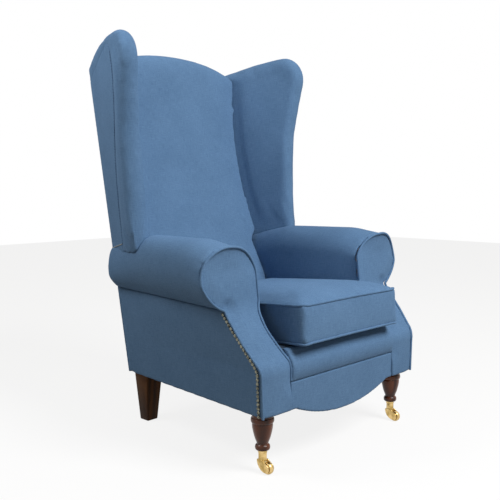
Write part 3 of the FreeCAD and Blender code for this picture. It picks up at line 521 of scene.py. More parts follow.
# lines drawn from straight runs and arcs, and the piping that follows them
def arcPoints(start, via, end, count):
    a, b, c = Vector(start), Vector(via), Vector(end)
    aa, bb, cc = a.length_squared, b.length_squared, c.length_squared
    d = 2 * (a.x * (b.y - c.y) + b.x * (c.y - a.y) + c.x * (a.y - b.y))
    centre = Vector(((aa * (b.y - c.y) + bb * (c.y - a.y) + cc * (a.y - b.y)) / d,
                     (aa * (c.x - b.x) + bb * (a.x - c.x) + cc * (b.x - a.x)) / d))
    first = math.atan2(a.y - centre.y, a.x - centre.x)
    last = math.atan2(c.y - centre.y, c.x - centre.x)
    way = (b - a).cross(c - b)
    if way > 0 and last < first:
        last += 2 * math.pi
    if way < 0 and last > first:
        last -= 2 * math.pi
    radius = (a - centre).length
    return [centre + radius * Vector((math.cos(t), math.sin(t)))
            for t in (first + (last - first) * n / count for n in range(1, count + 1))]


def tracePath(steps, pitch):
    # a pair is a straight run, four numbers are an arc through a point
    points = [Vector(steps[0])]
    for step in steps[1:]:
        start = points[-1]
        end = Vector(step[-2:])
        count = max(2, int((end - start).length / pitch))
        if len(step) == 2:
            points += [start.lerp(end, n / count) for n in range(1, count + 1)]
        else:
            points += arcPoints(start, step[:2], end, count)
    return points


def evenly(points, pitch):
    # the same line with its points an even distance apart
    lengths = [0.0]
    for first, second in zip(points, points[1:]):
        lengths.append(lengths[-1] + (second - first).length)
    count = max(2, round(lengths[-1] / pitch))
    spaced, index = [], 0
    for n in range(count + 1):
        goal = lengths[-1] * n / count
        while index < len(lengths) - 2 and lengths[index + 1] < goal:
            index += 1
        run = lengths[index + 1] - lengths[index]
        share = (goal - lengths[index]) / run if run else 0
        spaced.append(points[index].lerp(points[index + 1], share))
    return spaced


def pipe(name, lines, radius, resolution=3, closed=False):
    # a covered cord or a thread along each of the lines
    curve = bpy.data.curves.new(name, "CURVE")
    curve.dimensions = "3D"
    curve.bevel_depth = radius
    curve.bevel_resolution = resolution
    curve.use_fill_caps = True
    for line in lines:
        spline = curve.splines.new("POLY")
        spline.points.add(len(line) - 1)
        for target, point in zip(spline.points, line):
            target.co = (*point, 1)
        spline.use_cyclic_u = closed
    piece = bpy.data.objects.new(name, curve)
    scene.collection.objects.link(piece)
    justThis(piece)
    bpy.ops.object.convert(target="MESH")
    piece = bpy.context.object
    clothUv(piece)
    return piece


# arms: padded roll, facing with its piping, side cover and studs
armSet = {
    "pad": {"voxel": 0.0065, "round": 22, "reach": 0.03, "sewn": 0.012,
            "pressure": 4, "cap": 0.004, "settle": 8},
    "facing": {
        "voxel": 0.0036, "first": 3, "last": 2,     # rounds of softening before and after
        "skin": 0.005,                              # deeper than the skin isn't the front
        "bulge": 0.0055, "bulgeRun": 0.045,
        "notch": (-0.352, 0.438), "dimple": 0.007, "dimpleRun": 0.034,
        "trace": 0.004,
    },
    "panel": {"voxel": 0.0045, "round": 8, "reach": 0.02, "fine": False},
    "piping": {"radius": 0.0038, "pitch": 0.006, "proud": 0.1},
    "frontPitch": 0.003,
}
studSet = {
    "radius": 0.0054, "dome": 0.62, "sunk": 0.0004,
    "pitch": 0.011, "behind": 0.0165,               # along the line, and back from the arm's front
    "low": 0.168, "step": 0.004, "steps": 65,
    "segments": 12, "rings": 8, "castFrom": -0.6,   # the places are found from outside the chair
}
# the arm's front as the frame has it: across and height, then depth and height
facingOutline = [
    (0.345, 0.164), (0.350, 0.284), (0.363, 0.354), (0.367, 0.435), (0.413, 0.467, 0.436, 0.505),
    (0.4115, 0.5741, 0.334, 0.601), (0.266, 0.5751, 0.234, 0.529), (0.234, 0.447),
    (0.2493, 0.411, 0.255, 0.373), (0.2493, 0.342, 0.236, 0.298), (0.236, 0.245),
]
frontLine = [
    (-0.406, 0.08), (-0.406, 0.264), (-0.403, 0.290, -0.389, 0.310), (-0.304, 0.413),
    (-0.291, 0.434, -0.284, 0.457), (-0.275, 0.534), (-0.278, 0.571, -0.290, 0.603),
    (-0.300, 0.661),
]
frontTrace = tracePath(frontLine, armSet["frontPitch"])


def frontAt(height):
    for low, high in zip(frontTrace, frontTrace[1:]):
        if low.y <= height <= high.y:
            return low.x + (high.x - low.x) * (height - low.y) / (high.y - low.y)
    return frontTrace[-1].x


def makeFacing(recipe):
    # the front is stuffed towards its middle and drawn in at the notch under the scroll
    piece = fromNodes("armFacingLeft", "arm_facing_left")
    remesh(piece, recipe["voxel"])
    soften(piece, recipe["first"])
    edge = tracePath(facingOutline, recipe["trace"])
    near = KDTree(len(edge))
    for index, point in enumerate(edge):
        near.insert((-point.x, 0, point.y), index)
    near.balance()
    notch = Vector((recipe["notch"][0], 0, recipe["notch"][1]))
    for vertex in piece.data.vertices:
        flat = Vector((vertex.co.x, 0, vertex.co.z))
        if vertex.co.y > frontAt(vertex.co.z) + recipe["skin"]:
            continue
        inside = near.find(flat)[2]
        lift = recipe["bulge"] * smoothStep(inside, 0.0, recipe["bulgeRun"])
        pull = (flat - notch).length
        lift -= recipe["dimple"] * (1 - smoothStep(pull, 0.0, recipe["dimpleRun"]))
        vertex.co.y -= lift
    soften(piece, recipe["last"])
    return piece


def makeFacingPiping(look):
    edge = evenly(tracePath(facingOutline, armSet["facing"]["trace"]), look["pitch"])
    proud = look["radius"] * look["proud"]
    points = [Vector((-point.x, frontAt(point.y) + proud, point.y)) for point in edge]
    return pipe("facingPipingLeft", [points], look["radius"])


def makeStuds(name, places, look):
    # one domed head, copied along the edge of the side cover
    bpy.ops.mesh.primitive_uv_sphere_add(segments=look["segments"], ring_count=look["rings"],
                                         radius=look["radius"])
    stud = bpy.context.object
    bpy.ops.object.mode_set(mode="EDIT")
    bpy.ops.mesh.select_all(action="SELECT")
    bpy.ops.mesh.bisect(plane_co=(0, 0, 0), plane_no=(0, 0, 1), clear_inner=True, use_fill=True)
    bpy.ops.mesh.select_all(action="SELECT")
    bpy.ops.transform.resize(value=(1, 1, look["dome"]))
    bpy.ops.object.mode_set(mode="OBJECT")
    justThis(stud)
    bpy.ops.object.transform_apply(location=True, rotation=True, scale=True)
    copies = []
    for spot, normal in places:
        mesh = stud.data.copy()
        turn = Vector((0, 0, 1)).rotation_difference(normal).to_matrix().to_4x4()
        mesh.transform(Matrix.Translation(spot) @ turn)
        copies.append(addPiece(name + "One", mesh))
    studs = joinPieces(copies)
    studs.name = name
    bpy.data.objects.remove(stud)
    return studs


armNeighbours = [
    "arm_facing_left", "outside_arm_panel_left", "frame_wing_post_left", "inside_wing_pad_left",
    "outside_wing_panel_left", "inside_back_pad", "outside_back_panel", "seat_deck",
    "frame_side_rail_left", "frame_back_post_left", "frame_arm_rail_left", "frame_arm_stump_left",
]
panelNeighbours = ["arm_facing_left", "arm_pad_left", "outside_back_panel", "frame_side_rail_left"]
armPadLeft = pad("armPadLeft", "arm_pad_left", armNeighbours, armSet["pad"])
armFacingLeft = makeFacing(armSet["facing"])
pipingLeft = makeFacingPiping(armSet["piping"])
sidePanelLeft = pad("sidePanelLeft", "outside_arm_panel_left", panelNeighbours, armSet["panel"])

sideTree = meshTree(sidePanelLeft)
studHeights = [studSet["low"] + n * studSet["step"] for n in range(studSet["steps"])]
studLine = evenly([Vector((0, frontAt(z) + studSet["behind"], z)) for z in studHeights],
                  studSet["pitch"])
studPlaces = []
for point in studLine:
    start = Vector((studSet["castFrom"], point.y, point.z))
    hit, normal = sideTree.ray_cast(start, Vector((1, 0, 0)))[:2]
    if hit is not None:
        studPlaces.append((hit - normal * studSet["sunk"], normal))
studsLeft = makeStuds("studsLeft", studPlaces, studSet)
for piece, side in ((armPadLeft, "arm_pad"), (armFacingLeft, "arm_facing"),
                    (sidePanelLeft, "outside_arm_panel"), (pipingLeft, None), (studsLeft, None)):
    other = copyAcross(piece, piece.name.replace("Left", "Right"))
    for made, hand in ((piece, "_left"), (other, "_right")):
        if piece is studsLeft:
            dress(made, antiqueBrass, "chair", "brass")
            continue
        clothUv(made)
        dress(made, blueLinen, "chair", "blue_cloth", *([side + hand] if side else []))
print("arms made")


# wings: padded inside, outer cover, slip stitches and the strip at the foot
wingSet = {
    "pad": {"voxel": 0.006, "round": 30, "reach": 0.025, "sewn": 0.01,
            "pressure": 4, "cap": 0.005, "settle": 10, "gain": 1.35},
    "panel": {"voxel": 0.003, "round": 6, "reach": 0.02, "fine": False},
    "rake": 10.84, "flare": 19.3,               # degrees back and out
    "hinge": (-0.290, 0.248, 0.163),            # where both angles turn
    "base": 0.404, "thick": 0.055,
    "nose": 0.6, "noseRun": 0.07, "noseTop": 1.0, "noseFade": 0.12,
    "footFrom": 0.004, "footTo": 0.06, "footSunk": 0.003, "footMost": 0.04,
    "footCastFrom": 0.05, "footCastRun": 0.2,   # looks down for the arm from above the foot
    "sideCastFrom": 0.2, "sideCastRun": 0.3,    # looks in from outside for the outer face
    "rows": 100,                                # heights per metre at which the front edge is read
    "crest": 0.0065, "crestRise": (0.0, 0.12), "crestFall": (0.2, 0.36), "crestHeight": (0.93, 0.99),
}
pleatSet = {
    "centre": (0.238, 0.985), "angles": (8, 30, 52, 74, 98), "width": 5.0, "depth": 0.0016,
    "outside": 0.03, "near": 0.004, "full": 0.014, "fade": 0.03, "far": 0.05,
}
stitchSet = {"trace": 0.004, "pitch": 0.0085, "half": 0.0034, "slant": 0.001, "lift": 0.0004,
             "radius": 0.0008}
stripSet = {"start": 0.004, "step": 0.0064, "points": 21, "below": 0.001, "lift": 0.0006,
            "radius": 0.0014}
# the seam between the border and the outer cover: forward and height on the wing
coverSeam = [
    (0.135, 0.404), (0.148, 0.564, 0.197, 0.730), (0.237, 0.828, 0.259, 0.906), (0.262, 0.972),
]
wingPlane = (Matrix.Translation(wingSet["hinge"])
             @ Matrix.Rotation(math.radians(-wingSet["rake"]), 4, "X")
             @ Matrix.Rotation(math.radians(-wingSet["flare"]), 4, "Z"))


def onWing(forward, height, out=0.0):
    return wingPlane @ Vector((-out, -forward, height))


armTree = meshTree(armPadLeft)
outward = (onWing(0, 0, 1) - onWing(0, 0, 0)).normalized()


def frontEdges(piece, local):
    # how far forward the wing reaches at each row of its height
    edges = {}
    for vertex in piece.data.vertices:
        spot = local @ vertex.co
        row = round(spot.z * wingSet["rows"])
        edges[row] = max(edges.get(row, 0.0), -spot.y)
    return edges


def rollNose(vertex, out, height, behind):
    # the border rolls round to the front
    part = min(1.0, max(0.0, behind / wingSet["noseRun"]))
    kept = 1 - wingSet["nose"] * (1 - math.sqrt(max(0.0, 1 - (1 - part) ** 2)))
    fade = 1 - smoothStep(height, wingSet["noseTop"] - wingSet["noseFade"], wingSet["noseTop"])
    vertex.co -= outward * (out * (1 - kept) * fade)


def sinkFoot(vertex, height):
    # the foot is drawn down on to the arm roll
    base = wingSet["base"]
    share = 1 - smoothStep(height, base + wingSet["footFrom"], base + wingSet["footTo"])
    if share > 0:
        above = vertex.co + Vector((0, 0, wingSet["footCastFrom"]))
        hit = armTree.ray_cast(above, Vector((0, 0, -1)), wingSet["footCastRun"])[0]
        if hit is not None:
            drop = vertex.co.z - (height - base) - hit.z + wingSet["footSunk"]
            vertex.co.z -= min(wingSet["footMost"], max(0.0, drop)) * share


def raiseEar(vertex, forward, out, height):
    # the top is fuller on the outer side
    window = (smoothStep(forward, *wingSet["crestRise"])
              * (1 - smoothStep(forward, *wingSet["crestFall"]))
              * smoothStep(height, *wingSet["crestHeight"]))
    vertex.co.z += wingSet["crest"] * (2 * out / wingSet["thick"] - 1) * window


def pleatEar(vertex, normal, forward, out, height, look):
    # small gathers where the border turns round the ear
    away = Vector((forward - look["centre"][0], height - look["centre"][1]))
    if out > look["outside"] and look["near"] < away.length < look["far"]:
        angle = math.degrees(math.atan2(away.y, away.x))
        fold = sum(math.exp(-((angle - at) / look["width"]) ** 2) for at in look["angles"])
        vertex.co -= normal * (look["depth"] * fold
                               * smoothStep(away.length, look["near"], look["full"])
                               * (1 - smoothStep(away.length, look["fade"], look["far"])))


def seatWing(piece):
    # every point is moved by its place on the wing as it was before the shaping
    local = wingPlane.inverted()
    normals = [vertex.normal.copy() for vertex in piece.data.vertices]
    edges = frontEdges(piece, local)
    for vertex, normal in zip(piece.data.vertices, normals):
        spot = local @ vertex.co
        height, forward, out = spot.z, -spot.y, -spot.x
        row = height * wingSet["rows"]
        low = int(row)
        here = edges.get(low, 0)
        edge = here + (edges.get(low + 1, here) - here) * (row - low)
        if piece.name.startswith("wingPad") and out > 0 and height < wingSet["noseTop"]:
            rollNose(vertex, out, height, edge - forward)
        sinkFoot(vertex, height)
        raiseEar(vertex, forward, out, height)
        pleatEar(vertex, normal, forward, out, height, pleatSet)


wingNeighbours = ["inside_back_pad", "arm_pad_left", "outside_back_panel", "outside_wing_panel_left",
                  "frame_back_post_left"]
coverNeighbours = ["inside_wing_pad_left", "arm_pad_left", "outside_back_panel"]
wingSet["pad"]["shape"] = wingSet["panel"]["shape"] = seatWing
wingPadLeft = pad("wingPadLeft", "inside_wing_pad_left", wingNeighbours, wingSet["pad"])
wingPanelLeft = pad("wingPanelLeft", "outside_wing_panel_left", coverNeighbours, wingSet["panel"])
outerTrees = [meshTree(wingPadLeft), meshTree(wingPanelLeft)]


def onOuterFace(forward, height, lift=0.0):
    # a point on whatever the outer side of the wing shows there
    start = onWing(forward, height, wingSet["sideCastFrom"])
    hits = [tree.ray_cast(start, -outward, wingSet["sideCastRun"])[0] for tree in outerTrees]
    hits = [hit for hit in hits if hit is not None]
    if not hits:
        return None
    return max(hits, key=lambda hit: hit.dot(outward)) + outward * lift


def makeStitches(look):
    # slip stitches across the seam between the wing's border and its outer cover
    line = evenly(tracePath(coverSeam, look["trace"]), look["pitch"])
    stitches = []
    for point, after in zip(line, line[1:]):
        run = (after - point).normalized()
        across = Vector((run.y, -run.x)) * look["half"]
        ends = [onOuterFace(*(point - across + run * look["slant"]), look["lift"]),
                onOuterFace(*(point + across), look["lift"])]
        if None not in ends:
            stitches.append(ends)
    return pipe("wingStitchesLeft", stitches, look["radius"], resolution=1)


def makeStrip(look):
    # the covered nail strip along the foot of the outer cover
    line = [onOuterFace(look["start"] + n * look["step"], wingSet["base"] - look["below"], look["lift"])
            for n in range(look["points"])]
    return pipe("wingStripLeft", [[point for point in line if point is not None]], look["radius"])


stitchesLeft = makeStitches(stitchSet)
nailStripLeft = makeStrip(stripSet)
for piece, material, slotName in ((stitchesLeft, seamThread, "blue_cloth"),
                                  (nailStripLeft, antiqueBrass, "brass")):
    other = copyAcross(piece, piece.name.replace("Left", "Right"))
    dress(piece, material, "chair", slotName)
    dress(other, material, "chair", slotName)
for piece, side in ((wingPadLeft, "inside_wing_pad"), (wingPanelLeft, "outside_wing_panel")):
    other = copyAcross(piece, piece.name.replace("Left", "Right"))
    for made, hand in ((piece, "_left"), (other, "_right")):
        clothUv(made)
        dress(made, blueLinen, "chair", "blue_cloth", side + hand)
print("wings made")


# back, seat front and deck
crownSet = {"half": 0.27, "lift": 0.014, "low": 1.09, "high": 1.185}


def raiseCrown(piece):
    # the crest of the back is stuffed a little higher than its rail
    for vertex in piece.data.vertices:
        across = min(1.0, abs(vertex.co.x) / crownSet["half"])
        risen = smoothStep(vertex.co.z, crownSet["low"], crownSet["high"])
        vertex.co.z += crownSet["lift"] * (1 - across ** 4) * risen


backSet = {
    "pad": {"voxel": 0.008, "round": 26, "reach": 0.035, "sewn": 0.012,
            "pressure": 4, "cap": 0.006, "settle": 10, "gain": 1.3, "shape": raiseCrown},
    "lip": {"voxel": 0.004, "round": 12, "reach": 0.012, "fine": False},
    "apron": {"voxel": 0.0035, "round": 6, "reach": 0.008, "fine": False},
    "rear": {"voxel": 0.004, "round": 6, "reach": 0.012, "fine": False, "shape": raiseCrown},
    "deck": {"voxel": 0.009, "round": 8, "reach": 0.02, "fine": False},
}
bothFacings = ["arm_facing_left", "arm_facing_right"]
bothArms = ["arm_pad_left", "arm_pad_right"]
seatPieces = [      # piece, node, neighbours, recipe, cloth and slot
    ("backPad", "inside_back_pad", [
        "inside_wing_pad_left", "inside_wing_pad_right", *bothArms, "seat_deck", "outside_back_panel",
        "frame_top_rail", "frame_back_post_left", "frame_back_post_right", "back_webbing",
    ], "pad", blueLinen, "blue_cloth"),
    ("frontLip", "front_lip", ["front_apron", *bothFacings, "seat_deck"], "lip", blueLinen,
     "blue_cloth"),
    ("frontApron", "front_apron", ["front_lip", *bothFacings], "apron", blueLinen, "blue_cloth"),
    ("backCover", "outside_back_panel", ["inside_back_pad", "outside_arm_panel_left",
     "outside_arm_panel_right"], "rear", blueLinen, "blue_cloth"),
    ("seatDeck", "seat_deck", ["front_lip", *bothArms, "inside_back_pad"], "deck", platformCloth,
     "deck_cloth"),
]
for pieceName, node, neighbours, recipe, cloth, slotName in seatPieces:
    piece = pad(pieceName, node, neighbours, backSet[recipe])
    clothUv(piece)
    dress(piece, cloth, "chair", slotName, node)
print("back and seat made")


# loose cushion with piping round both edges
cushionSet = {
    "pad": {"voxel": 0.006, "round": 16, "pressure": 4, "cap": 0.009, "settle": 5},
    "half": 0.219, "front": -0.064, "rear": 0.461, "side": 0.105, "bow": 0.007,
    "slope": 4.1, "base": (0, -0.376, 0.3324),
    "corner": 0.023, "cornerSteps": 6, "loopPitch": 0.007,
    "rise": 0.008, "riseHeight": (0.03, 0.1), "riseRim": (0.2, 0.9),    # the rim stands up to its seam
    "topSeam": 0.004, "bottomSeam": 0.006, "seamInset": 0.003,
    "sewn": 0.007, "resting": 0.003,
    "piping": 0.0037, "pipingInset": 0.001, "proud": 0.0012,
}
seamHeights = {"Top": cushionSet["side"] + cushionSet["rise"] - cushionSet["topSeam"],
               "Bottom": cushionSet["bottomSeam"]}
cushionPlane = (Matrix.Translation(cushionSet["base"])
                @ Matrix.Rotation(math.radians(-cushionSet["slope"]), 4, "X"))


def cushionLoop(height, inset):
    # the cushion's outline with round corners, its sides drawn in towards their middles
    half = cushionSet["half"] - inset
    front, rear = cushionSet["front"] + inset, cushionSet["rear"] - inset
    middle, bow, r = (front + rear) / 2, cushionSet["bow"], cushionSet["corner"]
    corners = ((half - r, rear - r, 0), (-half + r, rear - r, 90),
               (-half + r, front + r, 180), (half - r, front + r, 270))
    steps, loop = cushionSet["cornerSteps"], []
    for cx, cy, start in corners:
        for n in range(steps + 1):
            angle = math.radians(start + 90 * n / steps)
            loop.append(Vector((cx + r * math.cos(angle), cy + r * math.sin(angle), height)))
    loop.append(loop[0].copy())
    loop = evenly(loop, cushionSet["loopPitch"])[:-1]
    for point in loop:
        alongX = max(0.0, 1 - abs(point.x) / half)
        alongY = max(0.0, 1 - abs(point.y - middle) / (rear - middle))
        if abs(point.x) > half - r:
            point.x -= math.copysign(bow * alongY, point.x)
        if abs(point.y - middle) > rear - middle - r:
            point.y -= math.copysign(bow * alongX, point.y - middle)
    return [cushionPlane @ point for point in loop]


def makeCushion(recipe):
    piece = fromNodes("seatCushion", "seat_cushion")
    remesh(piece, recipe["pad"]["voxel"])
    soften(piece, recipe["pad"]["round"])
    refill(piece, "seat_cushion", recipe["pad"]["round"])
    back = cushionPlane.inverted()
    middle = (recipe["front"] + recipe["rear"]) / 2
    for vertex in piece.data.vertices:
        spot = back @ vertex.co
        rim = max(abs(spot.x) / recipe["half"], abs(spot.y - middle) / (recipe["rear"] - middle))
        spot.z += (recipe["rise"] * smoothStep(spot.z, *recipe["riseHeight"])
                   * smoothStep(rim, *recipe["riseRim"]))
        vertex.co = cushionPlane @ spot
    seams = [point for height in seamHeights.values()
             for point in cushionLoop(height, recipe["seamInset"])]
    near = KDTree(len(seams))
    for index, point in enumerate(seams):
        near.insert(point, index)
    near.balance()
    held = [near.find(vertex.co)[2] < recipe["sewn"] or (back @ vertex.co).z < recipe["resting"]
            for vertex in piece.data.vertices]
    inflate(piece, held, recipe["pad"])
    subdivide(piece)
    return piece


seatCushion = makeCushion(cushionSet)
cushionTree = meshTree(seatCushion)
for label, height in seamHeights.items():
    loop = []
    for point in cushionLoop(height, cushionSet["pipingInset"]):
        spot, normal = cushionTree.find_nearest(point)[:2]
        loop.append(spot + normal * cushionSet["proud"])
    welt = pipe("cushionPiping" + label, [loop], cushionSet["piping"], closed=True)
    dress(welt, blueLinen, "cushion", "blue_cloth")
clothUv(seatCushion)
dress(seatCushion, blueLinen, "cushion", "blue_cloth", "seat_cushion")
print("cushion made")


# turned front legs, tapered rear legs, brass castors
legSet = {
    "across": 0.3, "front": -0.361,
    "profile": [    # radius and height, from the top down
        (0.001, 0.163), (0.024, 0.163), (0.028, 0.1615), (0.0285, 0.156), (0.0285, 0.1525),
        (0.0302, 0.1512), (0.0313, 0.1485), (0.0317, 0.145), (0.0314, 0.1415), (0.0302, 0.1388),
        (0.0282, 0.1373), (0.0268, 0.1367), (0.0272, 0.1355), (0.0279, 0.1335),
        (0.0281, 0.1295), (0.0277, 0.1245), (0.0265, 0.1175), (0.0246, 0.109), (0.0224, 0.1005),
        (0.0202, 0.0935), (0.0180, 0.0880), (0.0164, 0.0842), (0.0157, 0.0815),
        (0.0159, 0.0795), (0.0172, 0.0783), (0.0190, 0.0768), (0.0201, 0.0742),
        (0.0205, 0.0710), (0.0203, 0.0678), (0.0193, 0.0650), (0.0172, 0.0630),
        (0.0140, 0.0621), (0.001, 0.0620),
    ],
    "steps": 48,
    "rearBevel": 0.0025, "rearAngle": 30, "flat": 2,
}


def spinRound(name, outline, centre, axis, steps, closed=False):
    # a lathe-turned shape from its half outline
    mesh = bpy.data.meshes.new(name)
    last = len(outline) if closed else len(outline) - 1
    mesh.from_pydata(outline, [(index, (index + 1) % len(outline)) for index in range(last)], [])
    piece = addPiece(name, mesh)
    editAll(piece)
    bpy.ops.mesh.spin(steps=steps, angle=2 * math.pi, center=centre, axis=axis)
    bpy.ops.mesh.select_all(action="SELECT")
    bpy.ops.mesh.remove_doubles(threshold=poleDistance)
    bpy.ops.mesh.select_all(action="SELECT")
    bpy.ops.mesh.normals_make_consistent(inside=False)
    bpy.ops.object.mode_set(mode="OBJECT")
    return piece


def closePole(piece):
    # the tiny ring left at each end of a turned shape is filled
    justThis(piece)
    bpy.ops.object.mode_set(mode="EDIT")
    bpy.ops.mesh.select_all(action="DESELECT")
    bpy.ops.mesh.select_mode(type="EDGE")
    bpy.ops.mesh.select_non_manifold()
    bpy.ops.mesh.fill_holes(sides=0)
    bpy.ops.mesh.select_all(action="SELECT")
    bpy.ops.mesh.normals_make_consistent(inside=False)
    bpy.ops.mesh.select_mode(type="VERT")
    bpy.ops.object.mode_set(mode="OBJECT")


def finishHard(piece, material, body, slotName, *replaced):
    dress(piece, material, body, slotName, *replaced)
    justThis(piece)
    bpy.ops.object.shade_smooth_by_angle(angle=math.radians(crispAngle))
    bpy.ops.object.select_all(action="DESELECT")


castorSet = {
    "column": [     # radius and height
        (0.001, 0.0557), (0.0108, 0.0557), (0.0113, 0.0550), (0.0113, 0.0400), (0.0118, 0.0380),
        (0.0124, 0.0368), (0.0124, 0.0352), (0.0116, 0.0340), (0.001, 0.0340),
    ],
    "cheek": [      # forward of the stem and height, one side plate of the fork
        (-0.0113, 0.0370), (-0.0113, 0.0310), (-0.0090, 0.0230), (-0.0040, 0.0150),
        (0.0040, 0.0085), (0.0120, 0.0050), (0.0200, 0.0042), (0.0265, 0.0062),
        (0.0305, 0.0110), (0.0318, 0.0165), (0.0300, 0.0225), (0.0255, 0.0270),
        (0.0190, 0.0305), (0.0130, 0.0345), (0.0110, 0.0370),
    ],
    "inner": 0.0082, "outer": 0.0112, "bevel": 0.0009, "bevelAngle": 50,
    "wheel": [      # across from the middle and radius from the axle
        (-0.0070, 0.0027), (-0.0070, 0.0055), (-0.0064, 0.0062), (-0.0062, 0.0098),
        (-0.0068, 0.0112), (-0.0069, 0.0134), (-0.0058, 0.0150), (-0.0036, 0.0158),
        (0.0, 0.0160), (0.0036, 0.0158), (0.0058, 0.0150), (0.0069, 0.0134), (0.0068, 0.0112),
        (0.0062, 0.0098), (0.0064, 0.0062), (0.0070, 0.0055), (0.0070, 0.0027),
    ],
    "axle": (-0.381, 0.016),        # depth and height
    "columnSteps": 32, "wheelSteps": 40,
}


def makeHorn(side, look):
    # the stem with a curved plate on each side of the wheel
    x, y = side * legSet["across"], legSet["front"]
    column = spinRound("castorColumn", [(x + r, y, z) for r, z in look["column"]], (x, y, 0),
                       (0, 0, 1), look["columnSteps"])
    closePole(column)
    parts = [column]
    for hand in (-1, 1):
        mesh = bpy.data.meshes.new("cheek")
        spots = [(x + hand * look["inner"], y - forward, z) for forward, z in look["cheek"]]
        mesh.from_pydata(spots, [], [tuple(range(len(spots)))])
        cheek = addPiece("castorCheek", mesh)
        editAll(cheek)
        bpy.ops.mesh.extrude_region_move(TRANSFORM_OT_translate={
            "value": (hand * (look["outer"] - look["inner"]), 0, 0)})
        bpy.ops.mesh.select_all(action="SELECT")
        bpy.ops.mesh.normals_make_consistent(inside=False)
        bpy.ops.object.mode_set(mode="OBJECT")
        bevelEdges(cheek, look["bevel"], look["bevelAngle"])
        parts.append(cheek)
    return joinPieces(parts)


for side, hand in ((-1, "_left"), (1, "_right")):
    x, y = side * legSet["across"], legSet["front"]
    leg = spinRound("turnedLeg" + hand, [(x + r, y, z) for r, z in legSet["profile"]], (x, y, 0),
                    (0, 0, 1), legSet["steps"])
    closePole(leg)
    finishHard(leg, mahogany, "chair", "leg_timber", "front_leg" + hand)
    rear = fromNodes("taperedLeg" + hand, "rear_leg" + hand)
    editAll(rear)
    bpy.ops.mesh.dissolve_limited(angle_limit=math.radians(legSet["flat"]))
    bpy.ops.object.mode_set(mode="OBJECT")
    bevelEdges(rear, legSet["rearBevel"], legSet["rearAngle"])
    finishHard(rear, walnutLeg, "chair", "leg_timber", "rear_leg" + hand)
    horn = makeHorn(side, castorSet)
    horn.name = "castorFork" + hand
    finishHard(horn, polishedBrass, "castor" + hand, "brass", "castor_horn" + hand)
    wheelY, wheelZ = castorSet["axle"]
    rim = [(x + across, wheelY, wheelZ + r) for across, r in castorSet["wheel"]]
    wheel = spinRound("castorRoller" + hand, rim, (x, wheelY, wheelZ), (1, 0, 0),
                      castorSet["wheelSteps"], closed=True)
    finishHard(wheel, polishedBrass, "wheel" + hand, "brass", "castor_wheel" + hand)
print("legs and castors made")


# thin cover under the seat
coverSet = {"cuts": 12, "facingDown": -0.9}
underCover = fromNodes("underCover", "dust_cover")
justThis(underCover)
bpy.ops.object.mode_set(mode="EDIT")
work = bmesh.from_edit_mesh(underCover.data)
for face in work.faces:
    face.select = face.normal.z > coverSet["facingDown"]    # only the face seen from below stays
bmesh.update_edit_mesh(underCover.data)
bpy.ops.mesh.delete(type="FACE")
bpy.ops.mesh.select_all(action="SELECT")
bpy.ops.mesh.subdivide(number_cuts=coverSet["cuts"])
bpy.ops.object.mode_set(mode="OBJECT")
clothUv(underCover)
dress(underCover, blackCloth, "chair", "black_cloth", "dust_cover")
print("under cover made")


# floor, light and world
stageSet = {
    "size": 14.0, "grain": 60.0, "rough": (0.85, 0.1),      # least roughness and its spread
    "specular": 0.1, "glow": 1.0, "seen": 0.85,
    "pale": (0.9, 0.9, 0.9), "bounce": (0.34, 0.3, 0.26),   # what is seen, and what lights the chair
    "key": {"place": (0.3, -2.65, 2.95), "aim": (0.0, 0.0, 0.7), "size": 1.5, "power": 132},
    "fill": {"place": (-1.3, 0.5, 1.8), "aim": (-0.3, 0.2, 1.0), "size": 0.6, "power": 12.5},
    "sky": 0.2, "skyTint": (1.0, 0.92, 0.82), "skySeen": (1.0, 1.0, 1.0),
}


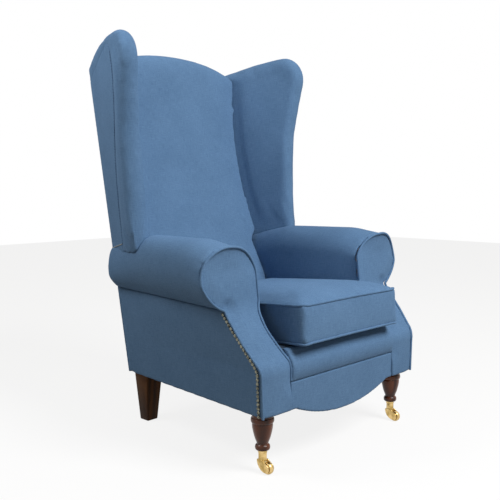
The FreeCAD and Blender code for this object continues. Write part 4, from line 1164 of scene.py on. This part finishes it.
def addLamp(name, look):
    bpy.ops.object.light_add(type="AREA", location=look["place"])
    lamp = bpy.context.object
    lamp.name = name
    lamp.data.size = look["size"]
    lamp.data.energy = look["power"]
    lamp.rotation_mode = "QUATERNION"
    aim = Vector(look["aim"]) - Vector(look["place"])
    lamp.rotation_quaternion = aim.to_track_quat("-Z", "Y")


def seenRays(tree):
    # one where the camera, a gloss or glass looks, none where light bounces
    shown = addNode(tree, "ShaderNodeLightPath").outputs
    through = mathNode(tree, "MAXIMUM", shown["Is Glossy Ray"], shown["Is Transmission Ray"])
    return mathNode(tree, "MAXIMUM", shown["Is Camera Ray"], through)


def makeStage(look):
    bpy.ops.mesh.primitive_plane_add(size=look["size"])
    floor = bpy.context.object
    floor.name = "studioFloor"
    material, tree, shader = startMaterial("paleFloor")
    seen = seenRays(tree)
    grain = addNode(tree, "ShaderNodeTexNoise", {"Scale": look["grain"]}).outputs[0]
    least, spread = look["rough"]
    tree.links.new(mathNode(tree, "MULTIPLY_ADD", grain, spread, least), shader.inputs["Roughness"])
    tree.links.new(mixColour(tree, seen, look["bounce"], look["pale"]), shader.inputs["Base Color"])
    shader.inputs["Specular IOR Level"].default_value = look["specular"]
    glow = addNode(tree, "ShaderNodeEmission", {"Strength": look["glow"]})
    blend = addNode(tree, "ShaderNodeMixShader", {
        0: mathNode(tree, "MULTIPLY", seen, look["seen"]), 1: shader.outputs[0], 2: glow.outputs[0]})
    tree.links.new(blend.outputs[0], tree.nodes["Material Output"].inputs["Surface"])
    floor.data.materials.append(material)
    world = scene.world or bpy.data.worlds.new("studio")
    scene.world = world
    world.use_nodes = True
    tree = world.node_tree
    tree.nodes.clear()
    seen = seenRays(tree)
    strength = mathNode(tree, "MULTIPLY_ADD", seen, 1 - look["sky"], look["sky"])
    colour = mixColour(tree, seen, look["skyTint"], look["skySeen"])
    plain = addNode(tree, "ShaderNodeBackground", {"Color": colour, "Strength": strength})
    out = addNode(tree, "ShaderNodeOutputWorld")
    tree.links.new(plain.outputs[0], out.inputs["Surface"])


addLamp("keyWindow", stageSet["key"])
addLamp("fillWindow", stageSet["fill"])
makeStage(stageSet)
scene.view_settings.view_transform = "Standard"
